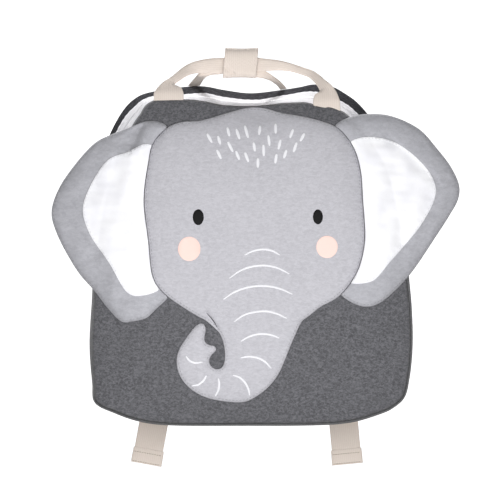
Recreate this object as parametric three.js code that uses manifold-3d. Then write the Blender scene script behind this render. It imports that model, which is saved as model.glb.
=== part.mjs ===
import * as THREE from "three";
import { mergeVertices } from "three/addons/utils/BufferGeometryUtils.js";
import Module from "manifold-3d";

const wasm = await Module();
wasm.setup();

// Millimetres. The bag is laid out in its own frame: x to the viewer's right, y from the front (-)
// to the back (+), z up from the base. The back panel's outer face is the plane y = 0.
const bodyWidth = 281;
const bodyHeight = 297.5;
const baseDepth = 92;
const topDepth = 62;
const frontDome = 16;
const sideBulge = 3.5;
const seamDrop = 13;
const clothWall = 2;
const backPadding = 8;
const padSlope = 6;
const seamGap = 0.3;
const patchGap = 0.6;

const tapeThickness = 1.2;
const coilWidth = 5;
const coilHeight = 1.5;
const zipReach = 0.235;
const zipSplit = 0.52;
const sliderLength = 12;
const sliderWidth = 9;
const sliderHeight = 3;
const pullerLength = 24;
const pullerWidth = 6;
const pullerThickness = 1.6;

const headWidth = 192.5;
const headHeight = 185.5;
const headShift = 2.2;
const chinHeight = 92.75;
const headPadding = 5;
const patchEdge = 1.6;
const padRise = 14;
const trunkLength = 72.6;
const trunkRoot = 42;
const fingerWidth = 18.5;
const fingerHeight = 8;

const leftEarReach = 102;
const rightEarReach = 108.5;
const earHeight = 175;
const earPadding = 7;
const earSlope = 2;
const liningThickness = 1;

const gripShift = -8.5;
const gripRise = 19.7;
const gripLength = 30;
const gripHeight = 27;
const gripDepth = 21;
const gripWall = 2.4;
const handleWidth = 25.5;
const handleThickness = 4.6;
const handleBaseThickness = 1.7;
const handleSeat = 0.7;
const frontHandleLeft = -72;
const frontHandleRight = 65.5;
const backHandleLeft = -50.5;
const backHandleRight = 28;
const backHandleDrop = 4.4;

const strapWidth = 46;
const strapThickness = 9;
const strapTop = 284;
const strapEnd = 87;
const strapInset = 30;
const strapBow = 38;
const webbingWidth = 25.5;
const webbingThickness = 1.6;
const adjusterInset = 64.5;
const adjusterOffset = bodyWidth / 2 - adjusterInset;
const adjusterStand = 20;
const adjusterHeight = 68;
const adjusterThickness = 3.5;
const adjusterRail = 3;
const adjusterBar = 4;
const adjusterSlot = 5;
const slotClearance = 2;
const tabLap = 9;
const turnSink = 0.4;
const anchorInset = 45.5;
const anchorOffset = bodyWidth / 2 - anchorInset;
const anchorHeight = 9;
const tailDrop = 36;
const leftTailEnd = anchorOffset - 2;
const rightTailEnd = anchorOffset - 10.2;
const hemLength = 13.5;

const ringCount = 56;
const panelRings = 8;
const fingerSides = 16;
const turnSteps = 4;
const gridStep = 11.5;

// Outline of the bag seen from the front, counter-clockwise from the middle of the base.
// across: share of half the body width; up: share of the body height.
// back, front: how far inside the outline the back seam and the front seam lie, as shares of
// the seam drop.
const bodyRows = [
  { across: 0.0, up: 0.0, back: 0.3, front: 0.15 },
  { across: 0.583, up: 0.007, back: 0.3, front: 0.15 },
  { across: 0.769, up: 0.029, back: 0.3, front: 0.15 },
  { across: 0.875, up: 0.05, back: 0.3, front: 0.15 },
  { across: 0.95, up: 0.082, back: 0.3, front: 0.15 },
  { across: 0.981, up: 0.138, back: 0.3, front: 0.15 },
  { across: 1.0, up: 0.235, back: 0.3, front: 0.15 },
  { across: 0.994, up: 0.353, back: 0.3, front: 0.15 },
  { across: 0.972, up: 0.5, back: 0.3, front: 0.3 },
  { across: 0.95, up: 0.662, back: 0.15, front: 0.65 },
  { across: 0.907, up: 0.779, back: 0.1, front: 1.1 },
  { across: 0.832, up: 0.853, back: 0.0, front: 1.25 },
  { across: 0.726, up: 0.915, back: 0.0, front: 1.4 },
  { across: 0.583, up: 0.974, back: 0.0, front: 1.35 },
  { across: 0.508, up: 0.996, back: 0.0, front: 1.45 },
  { across: 0.389, up: 1.004, back: 0.0, front: 1.45 },
  { across: 0.178, up: 0.987, back: 0.0, front: 1.05 },
  { across: -0.009, up: 0.978, back: 0.0, front: 0.9 },
  { across: -0.165, up: 0.987, back: 0.0, front: 1.0 },
  { across: -0.321, up: 0.999, back: 0.0, front: 1.0 },
  { across: -0.614, up: 0.982, back: 0.0, front: 0.75 },
  { across: -0.695, up: 0.966, back: 0.0, front: 0.9 },
  { across: -0.819, up: 0.906, back: 0.0, front: 1.0 },
  { across: -0.9, up: 0.835, back: 0.05, front: 1.1 },
  { across: -0.963, up: 0.726, back: 0.1, front: 1.0 },
  { across: -0.984, up: 0.574, back: 0.2, front: 0.5 },
  { across: -0.988, up: 0.397, back: 0.3, front: 0.15 },
  { across: -1.003, up: 0.235, back: 0.3, front: 0.15 },
  { across: -0.988, up: 0.124, back: 0.3, front: 0.15 },
  { across: -0.975, up: 0.068, back: 0.3, front: 0.15 },
  { across: -0.85, up: 0.029, back: 0.3, front: 0.15 },
  { across: -0.632, up: 0.004, back: 0.3, front: 0.15 },
];

// Face outline, counter-clockwise from the chin: shares of half the head width and the head height.
const headRows = [
  { across: 0.018, up: -0.052 },
  { across: 0.436, up: -0.002 },
  { across: 0.6, up: 0.059 },
  { across: 0.755, up: 0.104 },
  { across: 0.882, up: 0.179 },
  { across: 0.955, up: 0.255 },
  { across: 1.0, up: 0.373 },
  { across: 0.982, up: 0.561 },
  { across: 0.964, up: 0.693 },
  { across: 0.909, up: 0.797 },
  { across: 0.827, up: 0.863 },
  { across: 0.736, up: 0.906 },
  { across: 0.509, up: 0.946 },
  { across: 0.191, up: 0.978 },
  { across: -0.036, up: 0.988 },
  { across: -0.218, up: 0.978 },
  { across: -0.491, up: 0.941 },
  { across: -0.673, up: 0.929 },
  { across: -0.782, up: 0.901 },
  { across: -0.914, up: 0.825 },
  { across: -0.955, up: 0.736 },
  { across: -0.995, up: 0.561 },
  { across: -0.955, up: 0.373 },
  { across: -0.909, up: 0.193 },
  { across: -0.827, up: 0.13 },
  { across: -0.673, up: 0.068 },
  { across: -0.418, up: -0.005 },
];

// The trunk's middle line from the chin to the tip, as shares of the trunk length,
// and its half width as a share of its width at the root.
const trunkRows = [
  { across: 0.024, up: 0.06, half: 1.0 },
  { across: 0.036, up: -0.145, half: 0.823 },
  { across: 0.036, up: -0.337, half: 0.688 },
  { across: -0.012, up: -0.542, half: 0.604 },
  { across: -0.139, up: -0.723, half: 0.487 },
  { across: -0.428, up: -0.801, half: 0.323 },
  { across: -0.651, up: -0.711, half: 0.302 },
  { across: -0.741, up: -0.524, half: 0.333 },
  { across: -0.723, up: -0.349, half: 0.312 },
  { across: -0.687, up: -0.193, half: 0.188 },
  { across: -0.645, up: -0.066, half: 0.06 },
];
const fingerPlace = { across: -0.59, up: -0.365 };

// Ear outlines from the root's top, out from the head: shares of the ear's reach and height.
const leftEar = {
  side: -1,
  reach: leftEarReach,
  root: { across: -0.782, up: 0.901 },
  flap: [
    { out: 0.0, up: 0.0 },
    { out: 0.215, up: 0.025 },
    { out: 0.489, up: -0.028 },
    { out: 0.67, up: -0.09 },
    { out: 0.841, up: -0.21 },
    { out: 1.0, up: -0.415 },
    { out: 0.927, up: -0.55 },
    { out: 0.755, up: -0.73 },
    { out: 0.541, up: -0.875 },
    { out: 0.369, up: -0.973 },
    { out: 0.155, up: -0.95 },
    { out: -0.07, up: -0.855 },
    { out: -0.07, up: -0.4 },
  ],
  lining: [
    { out: 0.05, up: -0.13 },
    { out: 0.18, up: -0.082 },
    { out: 0.343, up: -0.122 },
    { out: 0.506, up: -0.16 },
    { out: 0.67, up: -0.3 },
    { out: 0.725, up: -0.41 },
    { out: 0.67, up: -0.525 },
    { out: 0.498, up: -0.675 },
    { out: 0.335, up: -0.825 },
    { out: 0.24, up: -0.838 },
    { out: 0.04, up: -0.79 },
    { out: 0.0, up: -0.45 },
  ],
};
const rightEar = {
  side: 1,
  reach: rightEarReach,
  root: { across: 0.736, up: 0.908 },
  flap: [
    { out: 0.0, up: 0.0 },
    { out: 0.266, up: 0.065 },
    { out: 0.524, up: 0.028 },
    { out: 0.766, up: -0.092 },
    { out: 0.992, up: -0.292 },
    { out: 0.992, up: -0.347 },
    { out: 0.847, up: -0.507 },
    { out: 0.605, up: -0.718 },
    { out: 0.363, up: -0.882 },
    { out: 0.202, up: -0.905 },
    { out: -0.03, up: -0.85 },
    { out: 0.03, up: -0.4 },
  ],
  lining: [
    { out: 0.07, up: -0.11 },
    { out: 0.202, up: -0.058 },
    { out: 0.427, up: -0.068 },
    { out: 0.605, up: -0.13 },
    { out: 0.766, up: -0.237 },
    { out: 0.81, up: -0.328 },
    { out: 0.71, up: -0.472 },
    { out: 0.444, up: -0.672 },
    { out: 0.282, up: -0.775 },
    { out: 0.05, up: -0.76 },
    { out: 0.1, up: -0.4 },
  ],
};

// Handle legs from the seam to the grip. along, rise: shares of the way from the leg's base;
// width, thick: shares of the handle's width and full thickness.
const frontLeftLeg = [
  { along: 0.0, rise: 0.0, width: 1.0, thick: 0.37 },
  { along: 0.01, rise: 0.2, width: 0.88, thick: 0.5 },
  { along: 0.005, rise: 0.38, width: 0.46, thick: 0.9 },
  { along: 0.06, rise: 0.55, width: 0.46, thick: 1.0 },
  { along: 0.205, rise: 0.72, width: 0.5, thick: 1.0 },
  { along: 0.466, rise: 0.913, width: 0.5, thick: 1.0 },
  { along: 0.767, rise: 0.97, width: 0.49, thick: 1.0 },
];
const frontRightLeg = [
  { along: 0.0, rise: 0.0, width: 1.0, thick: 0.37 },
  { along: -0.01, rise: 0.2, width: 0.86, thick: 0.5 },
  { along: 0.04, rise: 0.449, width: 0.54, thick: 0.9 },
  { along: 0.136, rise: 0.663, width: 0.42, thick: 1.0 },
  { along: 0.314, rise: 0.847, width: 0.36, thick: 1.0 },
  { along: 0.55, rise: 0.955, width: 0.43, thick: 1.0 },
  { along: 0.805, rise: 0.989, width: 0.47, thick: 1.0 },
];
const backLeftLeg = [
  { along: 0.0, rise: 0.0, width: 0.5, thick: 0.37 },
  { along: 0.06, rise: 0.4, width: 0.46, thick: 0.8 },
  { along: 0.25, rise: 0.84, width: 0.42, thick: 1.0 },
  { along: 0.65, rise: 1.0, width: 0.42, thick: 1.0 },
];
const backRightLeg = [
  { along: 0.0, rise: 0.0, width: 0.42, thick: 0.37 },
  { along: 0.2, rise: 0.45, width: 0.36, thick: 0.8 },
  { along: 0.44, rise: 0.84, width: 0.36, thick: 1.0 },
  { along: 0.57, rise: 1.0, width: 0.38, thick: 1.0 },
];

// Padded strap from its top seam to its lower end. along: share of the strap's height;
// out: share of the way from the top inset to the adjuster; bow: share of the bow;
// seat: 1 where the strap lies in line with the adjuster;
// width, thick: shares of the strap's width and thickness.
const strapRows = [
  { along: 0.0, out: 0.0, bow: 0.0, width: 0.8, thick: 0.45 },
  { along: 0.06, out: 0.02, bow: 0.02, width: 0.84, thick: 0.6 },
  { along: 0.15, out: 0.12, bow: 0.17, width: 0.9, thick: 0.95 },
  { along: 0.28, out: 0.42, bow: 0.58, width: 1.0, thick: 1.0 },
  { along: 0.42, out: 0.76, bow: 0.9, width: 1.0, thick: 1.0 },
  { along: 0.58, out: 0.98, bow: 1.0, width: 1.0, thick: 1.0 },
  { along: 0.74, out: 1.05, bow: 0.9, width: 0.94, thick: 1.0 },
  { along: 0.84, out: 1.03, bow: 0.72, width: 0.82, thick: 0.9 },
  { along: 0.92, out: 1.0, seat: 1.0, width: 0.72, thick: 0.5 },
  { along: 1.0, out: 1.0, seat: 1.0, width: 0.64, thick: 0.45 },
];

const colours = {
  marl: 0x5f6062,
  face: 0xb9babd,
  lining: 0xfafafc,
  webbing: 0xe4dace,
  zip: 0xf0eef6,
  plastic: 0xd8d2c8,
  metal: 0xc9c9cc,
};
const material = (colour, roughness = 0.9, metalness = 0) =>
  new THREE.MeshStandardMaterial({ color: colour, roughness, metalness });
const marlCloth = material(colours.marl);
const faceCloth = material(colours.face);
const liningCloth = material(colours.lining);
const webbingCloth = material(colours.webbing);
const zipCloth = material(colours.zip, 0.7);
const plastic = material(colours.plastic, 0.4);
const zipMetal = material(colours.metal, 0.3, 1);

const point = (x, y, z) => new THREE.Vector3(x, y, z);
const mix = THREE.MathUtils.lerp;

// Joins coincident corners, drops triangles that have lost a side, and faces the body outwards.
function solid(points, faces) {
  const kept = [];
  const index = new Map();
  const place = points.map((p) => {
    const key = [p.x, p.y, p.z].map((value) => Math.round(value * 1e4)).join();
    if (!index.has(key)) {
      index.set(key, kept.length);
      kept.push(p);
    }
    return index.get(key);
  });
  let volume = 0;
  let triangles = [];
  for (const face of faces) {
    const [a, b, c] = face.map((corner) => place[corner]);
    if (a !== b && b !== c && c !== a) {
      triangles.push([a, b, c]);
      volume += kept[a].dot(kept[b].clone().cross(kept[c]));
    }
  }
  if (volume < 0) {
    triangles = triangles.map(([a, b, c]) => [a, c, b]);
  }
  const geometry = new THREE.BufferGeometry().setFromPoints(kept);
  geometry.setIndex(triangles.flat());
  geometry.computeVertexNormals();
  return geometry;
}

// Body between two surfaces over one grid of columns and rows, closed along its rim.
function shell(outer, inner, columns, rows, wraps = false) {
  const across = wraps ? columns : columns + 1;
  const points = [];
  for (const surface of [outer, inner]) {
    for (let j = 0; j <= rows; j += 1) {
      for (let i = 0; i < across; i += 1) {
        points.push(surface(i / columns, j / rows));
      }
    }
  }
  const layer = across * (rows + 1);
  const at = (i, j, k) => k * layer + j * across + (i % across);
  const faces = [];
  const quad = (a, b, c, d) => faces.push([a, b, c], [a, c, d]);
  for (let j = 0; j < rows; j += 1) {
    for (let i = 0; i < columns; i += 1) {
      quad(at(i, j, 0), at(i + 1, j, 0), at(i + 1, j + 1, 0), at(i, j + 1, 0));
      quad(at(i, j, 1), at(i, j + 1, 1), at(i + 1, j + 1, 1), at(i + 1, j, 1));
    }
    if (!wraps) {
      quad(at(0, j, 0), at(0, j + 1, 0), at(0, j + 1, 1), at(0, j, 1));
      quad(at(columns, j, 0), at(columns, j, 1), at(columns, j + 1, 1), at(columns, j + 1, 0));
    }
  }
  for (let i = 0; i < columns; i += 1) {
    quad(at(i, 0, 0), at(i, 0, 1), at(i + 1, 0, 1), at(i + 1, 0, 0));
    quad(at(i, rows, 0), at(i + 1, rows, 0), at(i + 1, rows, 1), at(i, rows, 1));
  }
  return solid(points, faces);
}

// Strip along stations, each with its middle, half-width vector and thickness. A round strip
// has its edges eased.
function strip(stations, round = false) {
  const corners = round
    ? [[-1, -0.2], [-0.86, -0.5], [0.86, -0.5], [1, -0.2], [1, 0.2], [0.86, 0.5], [-0.86, 0.5], [-1, 0.2]]
    : [[-1, -0.5], [1, -0.5], [1, 0.5], [-1, 0.5]];
  const points = [];
  stations.forEach((station, i) => {
    const before = stations[Math.max(i - 1, 0)].middle;
    const after = stations[Math.min(i + 1, stations.length - 1)].middle;
    const normal = after.clone().sub(before).cross(station.half).normalize();
    for (const [side, lift] of corners) {
      const corner = station.middle.clone().addScaledVector(station.half, side);
      points.push(corner.addScaledVector(normal, lift * station.thickness));
    }
  });
  const count = corners.length;
  const faces = [];
  for (let i = 0; i + 1 < stations.length; i += 1) {
    for (let j = 0; j < count; j += 1) {
      const a = i * count + j;
      const b = i * count + ((j + 1) % count);
      faces.push([a, b, b + count], [a, b + count, a + count]);
    }
  }
  const last = points.length - count;
  for (let j = 1; j + 1 < count; j += 1) {
    faces.push([0, j + 1, j], [last, last + j, last + j + 1]);
  }
  return solid(points, faces);
}

function manifoldOf(geometry) {
  const bare = geometry.clone();
  bare.deleteAttribute("normal");
  bare.deleteAttribute("uv");
  const merged = mergeVertices(bare);
  return new wasm.Manifold(
    new wasm.Mesh({
      numProp: 3,
      vertProperties: new Float32Array(merged.attributes.position.array),
      triVerts: new Uint32Array(merged.index.array),
    }),
  );
}

function geometryOf(manifold) {
  const mesh = manifold.getMesh();
  const geometry = new THREE.BufferGeometry();
  geometry.setAttribute("position", new THREE.BufferAttribute(mesh.vertProperties, 3));
  geometry.setIndex(new THREE.BufferAttribute(mesh.triVerts, 1));
  geometry.computeVertexNormals();
  return geometry;
}

// The bag's outline as a curve, with the seam columns read along it.
const outline = new THREE.CatmullRomCurve3(
  bodyRows.map((row) => point((row.across * bodyWidth) / 2, 0, row.up * bodyHeight)),
  true,
);
outline.arcLengthDivisions = 400;
const middle = point(0, 0, bodyHeight / 2);

function column(name, u) {
  const place = ((u % 1) + 1) % 1 * bodyRows.length;
  const row = Math.floor(place) % bodyRows.length;
  return mix(bodyRows[row][name], bodyRows[(row + 1) % bodyRows.length][name], place % 1);
}

// Point at share t round the outline, moved in along its normal by a column's share.
function seamPoint(t, name, extra = 0) {
  const u = outline.getUtoTmapping((t % 1 + 1) % 1);
  const tangent = outline.getTangent(u);
  const inward = point(-tangent.z, 0, tangent.x);
  return outline.getPoint(u).addScaledVector(inward, column(name, u) * seamDrop + extra);
}

const depthAt = (z) => mix(baseDepth, topDepth, THREE.MathUtils.clamp(z / bodyHeight, 0, 1) ** 1.4);

// Front seam by direction from the body's middle, so that the front panel is a height field.
const seamSamples = 720;
const seamRadii = [];
for (let i = 0; i < seamSamples; i += 1) {
  const seam = seamPoint(i / seamSamples, "front").sub(middle);
  seamRadii.push({ angle: Math.atan2(seam.z, seam.x), radius: Math.hypot(seam.x, seam.z) });
}
seamRadii.sort((a, b) => a.angle - b.angle);

function seamRadius(angle) {
  let low = 0;
  let high = seamRadii.length;
  while (low < high) {
    const half = (low + high) >> 1;
    if (seamRadii[half].angle < angle) {
      low = half + 1;
    } else {
      high = half;
    }
  }
  const after = seamRadii[low % seamRadii.length];
  const before = seamRadii[(low + seamRadii.length - 1) % seamRadii.length];
  const span = (after.angle - before.angle + 2 * Math.PI) % (2 * Math.PI);
  const share = ((angle - before.angle + 2 * Math.PI) % (2 * Math.PI)) / span;
  return mix(before.radius, after.radius, share);
}

// Outer face of the front panel: domed inside the seam, falling away evenly beyond it.
function frontFace(x, z) {
  const share = Math.hypot(x - middle.x, z - middle.z) / seamRadius(Math.atan2(z - middle.z, x - middle.x));
  const rise = share < 1 ? 1 - share ** 4 : earSlope * (1 - share);
  return -(depthAt(z) + frontDome * rise);
}

function frontPanel() {
  const face = (back) => (t, v) => {
    const seam = seamPoint(t, "front");
    const share = (1 - v) ** 0.8;
    const p = middle.clone().lerp(seam, share);
    return point(p.x, frontFace(p.x, p.z) * 1 + back, p.z);
  };
  return shell(face(0), face(clothWall), ringCount, panelRings, true);
}

// Wall between the back seam (s = 0) and the front seam (s = 1), bulged out at the sides and base.
function wallPoint(t, s, inset) {
  const back = seamPoint(t, "back", inset);
  const front = seamPoint(t, "front", inset);
  const p = back.lerp(front, s);
  const u = outline.getUtoTmapping((t % 1 + 1) % 1);
  const tangent = outline.getTangent(u);
  const low = 1 - THREE.MathUtils.smoothstep(p.z / bodyHeight, 0.55, 0.85);
  const bulge = sideBulge * low * Math.sin(Math.PI * s);
  const rear = -(clothWall + seamGap);
  const fore = -(depthAt(front.z) - clothWall - seamGap);
  return point(p.x + tangent.z * bulge, mix(rear, fore, s), p.z - tangent.x * bulge);
}

const zipStart = zipReach;
const zipStop = 1 - zipReach;
const perimeter = outline.getLength();
const endGap = seamGap / perimeter;
const depthGap = seamGap / topDepth;
const bandColumns = 40;

const wall = (from, to, low, high, thickness, lift = 0) => {
  const surface = (inset) => (u, v) => {
    const t = mix(from, to, u);
    return wallPoint(t, mix(low(t), high(t), v), inset);
  };
  return [surface(-lift), surface(thickness - lift)];
};

function gussetLower() {
  const [outer, inner] = wall(zipStop - 1 + endGap, zipStart - endGap, () => 0, () => 1, clothWall);
  return shell(outer, inner, bandColumns, 5);
}

function gussetUpper() {
  const [outer, inner] = wall(zipStart, zipStop, () => 0, () => zipSplit - depthGap, clothWall);
  return shell(outer, inner, bandColumns, 2);
}

function zipTape() {
  const [outer, inner] = wall(zipStart, zipStop, () => zipSplit, () => 1, tapeThickness);
  return shell(outer, inner, bandColumns, 2);
}

const coilShare = (zipSplit + 1) / 2;
function zipCoil() {
  const reach = coilWidth / 2 / topDepth;
  const lift = coilHeight + seamGap;
  const inset = 8 * endGap;
  const [outer, inner] = wall(
    zipStart + inset,
    zipStop - inset,
    () => coilShare - reach,
    () => coilShare + reach,
    coilHeight,
    lift,
  );
  return shell(outer, inner, bandColumns, 1);
}

// Frame at share t of the zip: its middle on the coil's top, the way along it and the way out.
function zipFrame(t) {
  const lift = coilHeight + 2 * seamGap;
  const at = wallPoint(t, coilShare, -lift);
  const along = wallPoint(t + 0.01, coilShare, -lift).sub(at).normalize();
  const fore = wallPoint(t, coilShare + 0.1, -lift).sub(wallPoint(t, coilShare - 0.1, -lift));
  const out = along.clone().cross(fore).normalize();
  return { at, along, out, side: along.clone().cross(out) };
}

const sliderPlace = zipStop - (3 * sliderLength) / perimeter;
function placedOnZip(geometry, t, lift) {
  const frame = zipFrame(t);
  const turn = new THREE.Matrix4().makeBasis(frame.side, frame.along, frame.out);
  geometry.applyMatrix4(turn);
  const at = frame.at.addScaledVector(frame.out, lift);
  geometry.translate(at.x, at.y, at.z);
  return geometry;
}

function zipSlider() {
  const box = new THREE.BoxGeometry(sliderWidth, sliderLength, sliderHeight);
  return placedOnZip(box, sliderPlace, sliderHeight / 2);
}

function zipPuller() {
  const tab = new THREE.BoxGeometry(pullerWidth, pullerLength, pullerThickness);
  tab.translate(0, pullerLength / 2 - sliderLength / 2, 0);
  return placedOnZip(tab, sliderPlace, sliderHeight + seamGap + pullerThickness / 2);
}

// The back panel's outer face is flat; inside, its padding stands up from the seam margin.
function backPanel() {
  const margin = clothWall + 1;
  const rows = [
    { inset: 0, depth: clothWall },
    { inset: margin, depth: clothWall },
    { inset: margin + padSlope, depth: backPadding },
    { inset: Infinity, depth: backPadding },
  ];
  const face = (share) => (t, v) => {
    const row = rows[Math.round(v * (rows.length - 1))];
    const p = Number.isFinite(row.inset) ? seamPoint(t, "back", row.inset) : middle.clone();
    return point(p.x, -row.depth * share, p.z);
  };
  return shell(face(0), face(1), ringCount, rows.length - 1, true);
}

const headPoint = (row) =>
  point(headShift + (row.across * headWidth) / 2, 0, chinHeight + row.up * headHeight);

const closedOutline = (corners, count) =>
  new THREE.CatmullRomCurve3(corners, true, "centripetal").getSpacedPoints(count).slice(0, count);

const headOutline = closedOutline(headRows.map(headPoint), 64);

function trunkOutline() {
  const spot = (row) => point(headShift + row.across * trunkLength, 0, chinHeight + row.up * trunkLength);
  const line = new THREE.CatmullRomCurve3(trunkRows.map(spot), false, "centripetal");
  const steps = 28;
  const left = [];
  const right = [];
  for (let i = 0; i <= steps; i += 1) {
    const place = (i / steps) * (trunkRows.length - 1);
    const row = Math.min(Math.floor(place), trunkRows.length - 2);
    const half = trunkRoot * mix(trunkRows[row].half, trunkRows[row + 1].half, place - row);
    const at = line.getPoint(i / steps);
    const tangent = line.getTangent(i / steps);
    const side = point(-tangent.z, 0, tangent.x).multiplyScalar(half);
    left.push(at.clone().add(side));
    right.push(at.clone().sub(side));
  }
  return [...left, ...right.reverse()];
}

function fingerOutline() {
  const x = headShift + fingerPlace.across * trunkLength;
  const z = chinHeight + fingerPlace.up * trunkLength;
  return Array.from({ length: fingerSides }, (_, i) => {
    const angle = (i / fingerSides) * 2 * Math.PI;
    return point(x + (fingerWidth / 2) * Math.cos(angle), 0, z + (fingerHeight / 2) * Math.sin(angle));
  });
}

// Upright prism with a given outline, long enough from front to back to hold any patch.
function prism(corners) {
  const shape = new THREE.Shape(corners.map((p) => new THREE.Vector2(p.x, p.z)));
  const reach = 2 * (baseDepth + frontDome);
  const geometry = new THREE.ExtrudeGeometry(shape, { depth: reach, bevelEnabled: false });
  geometry.rotateX(Math.PI / 2);
  return manifoldOf(geometry);
}

// Distance from (x, z) to a closed outline.
function edgeDistance(corners, x, z) {
  let least = Infinity;
  corners.forEach((a, i) => {
    const b = corners[(i + 1) % corners.length];
    const [dx, dz] = [b.x - a.x, b.z - a.z];
    const share = ((x - a.x) * dx + (z - a.z) * dz) / (dx * dx + dz * dz);
    const along = THREE.MathUtils.clamp(share, 0, 1);
    least = Math.min(least, Math.hypot(x - a.x - along * dx, z - a.z - along * dz));
  });
  return least;
}

// Cloth lying over the front panel between two lifts above its face, cut to an outline. All
// patches share one lattice, so that one lies evenly on another.
function patch(cut, corners, low, high) {
  const box = new THREE.Box3().setFromPoints(corners);
  const [left, base] = [box.min.x, box.min.z].map((value) => Math.floor(value / gridStep - 0.01));
  const columns = Math.ceil(box.max.x / gridStep + 0.01) - left;
  const rows = Math.ceil(box.max.z / gridStep + 0.01) - base;
  const surface = (lift) => (u, v) => {
    const x = (left + Math.round(u * columns)) * gridStep;
    const z = (base + Math.round(v * rows)) * gridStep;
    return point(x, frontFace(x, z) - lift(x, z), z);
  };
  const slab = manifoldOf(shell(surface(high), surface(low), columns, rows));
  return geometryOf(slab.intersect(cut));
}

const padded = (corners, full) => (x, z) => {
  const share = THREE.MathUtils.smoothstep(edgeDistance(corners, x, z), 0, padRise);
  return patchGap + mix(patchEdge, full, share);
};

function head() {
  const trunk = trunkOutline();
  const finger = fingerOutline();
  const cut = prism(headOutline).add(prism(trunk)).add(prism(finger));
  const corners = [...headOutline, ...trunk, ...finger];
  return patch(cut, corners, () => patchGap, padded(headOutline, headPadding));
}

// The head's outline grown by a gap, which the ears stop at.
function grown(corners, gap) {
  return corners.map((p, i) => {
    const before = corners[(i + corners.length - 1) % corners.length];
    const after = corners[(i + 1) % corners.length];
    const along = after.clone().sub(before).normalize();
    return point(p.x + along.z * gap, 0, p.z - along.x * gap);
  });
}

const headClear = prism(grown(headOutline, seamGap));
function earOutline(ear, rows) {
  const root = headPoint(ear.root);
  const spots = rows.map((row) =>
    point(root.x + ear.side * row.out * ear.reach, 0, root.z + row.up * earHeight),
  );
  const corners = closedOutline(spots, 40);
  return ear.side < 0 ? corners : corners.reverse();
}

function earFlap(ear) {
  const corners = earOutline(ear, ear.flap);
  const cut = prism(corners).subtract(headClear);
  return patch(cut, corners, () => patchGap, padded(corners, earPadding));
}

function earLining(ear) {
  const corners = earOutline(ear, ear.lining);
  const flap = padded(earOutline(ear, ear.flap), earPadding);
  const cut = prism(corners).subtract(headClear);
  const low = (x, z) => flap(x, z) + patchGap;
  return patch(cut, corners, low, (x, z) => low(x, z) + liningThickness);
}

// Highest point of a seam near x, where a handle's base stands.
function seamTop(x, name) {
  let best = point(0, 0, -Infinity);
  for (let i = 0; i <= seamSamples; i += 1) {
    const seam = seamPoint(0.25 + (0.5 * i) / seamSamples, name);
    if (Math.abs(seam.x - x) < bodyWidth / 200 && seam.z > best.z) {
      best = seam;
    }
  }
  return best;
}

const grip = point(gripShift, -topDepth / 2, bodyHeight + gripRise);

function legStations(rows, baseX, seam, end) {
  const base = seamTop(baseX, seam);
  const baseY = seam === "front" ? handleBaseThickness / 2 - depthAt(base.z) : -clothWall / 2;
  const half = handleWidth / 2;
  const rim = seamTop(baseX + half * rows[0].width, seam).sub(seamTop(baseX - half * rows[0].width, seam));
  base.z += handleSeat;
  const spots = rows.map((row) =>
    point(mix(baseX, end.x, row.along), mix(baseY, end.y, row.rise), mix(base.z, end.z, row.rise)),
  );
  const way = Math.sign(end.x - baseX);
  return rows.map((row, i) => {
    const along = (spots[i + 1] ?? end).clone().sub(spots[Math.max(i - 1, 0)]).setY(0).normalize();
    const width = i === 0 ? rim.setY(0).normalize().multiplyScalar(way) : point(along.z, 0, -along.x).multiplyScalar(way);
    const level = i === 0 ? width : width.lerp(point(way, 0, 0), i === 1 ? 0.5 : 0).normalize();
    return {
      middle: spots[i],
      half: level.clone().multiplyScalar(half * row.width * way),
      thickness: Math.max(handleThickness * row.thick, handleBaseThickness),
    };
  });
}

function handle(leftRows, rightRows, leftX, rightX, seam, gripY, drop) {
  const end = point(grip.x, gripY, grip.z - drop);
  const left = legStations(leftRows, leftX, seam, end);
  const right = legStations(rightRows, rightX, seam, end);
  const centre = {
    middle: end,
    half: point(0, 0, -(handleWidth / 2) * leftRows[leftRows.length - 1].width),
    thickness: handleThickness,
  };
  for (const station of right) {
    station.half.multiplyScalar(-1);
  }
  return strip([...left, centre, ...right.reverse()]);
}

const handleGap = handleThickness / 2 + seamGap;
const handleFront = () =>
  handle(frontLeftLeg, frontRightLeg, frontHandleLeft, frontHandleRight, "front", grip.y - handleGap, 0);

const handleBack = () =>
  handle(
    backLeftLeg, backRightLeg, backHandleLeft, backHandleRight,
    "back", grip.y + handleGap, backHandleDrop,
  );

function gripWrap() {
  const ring = (inset) => (u, v) => {
    const angle = u * 2 * Math.PI;
    const round = (value) => Math.sign(value) * Math.abs(value) ** 0.6;
    const y = (gripDepth / 2 - inset) * round(Math.cos(angle));
    const z = (gripHeight / 2 - inset) * round(Math.sin(angle));
    return point(grip.x + (v - 0.5) * gripLength, grip.y + y, grip.z + z);
  };
  return shell(ring(0), ring(gripWall), 20, 2, true);
}

function strapStations(side) {
  const rest = seamGap + strapThickness / 2;
  const spots = strapRows.map((row) => {
    const x = side * mix(strapInset, adjusterOffset, row.out);
    const z = mix(strapTop, strapEnd, row.along);
    const flat = seamGap + (strapThickness * row.thick) / 2;
    const bowed = row.bow < 0.1 ? flat : mix(rest, strapBow, row.bow);
    return point(x, row.seat ? adjusterStand : bowed, z);
  });
  return strapRows.map((row, i) => {
    const before = spots[Math.max(i - 1, 0)];
    const after = spots[Math.min(i + 1, spots.length - 1)];
    const along = after.clone().sub(before).setY(0).normalize();
    return {
      middle: spots[i],
      half: point(-along.z, 0, along.x).multiplyScalar((strapWidth / 2) * row.width),
      thickness: strapThickness * row.thick,
    };
  });
}

const strapPad = (side) => strip(strapStations(side), true);

const adjusterSize = 3 * adjusterBar + 2 * adjusterSlot;
const adjusterTop = adjusterHeight + adjusterSize / 2;
const slotWidth = webbingWidth + slotClearance;
const plyOffset = adjusterThickness / 2 + seamGap + webbingThickness / 2;

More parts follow.
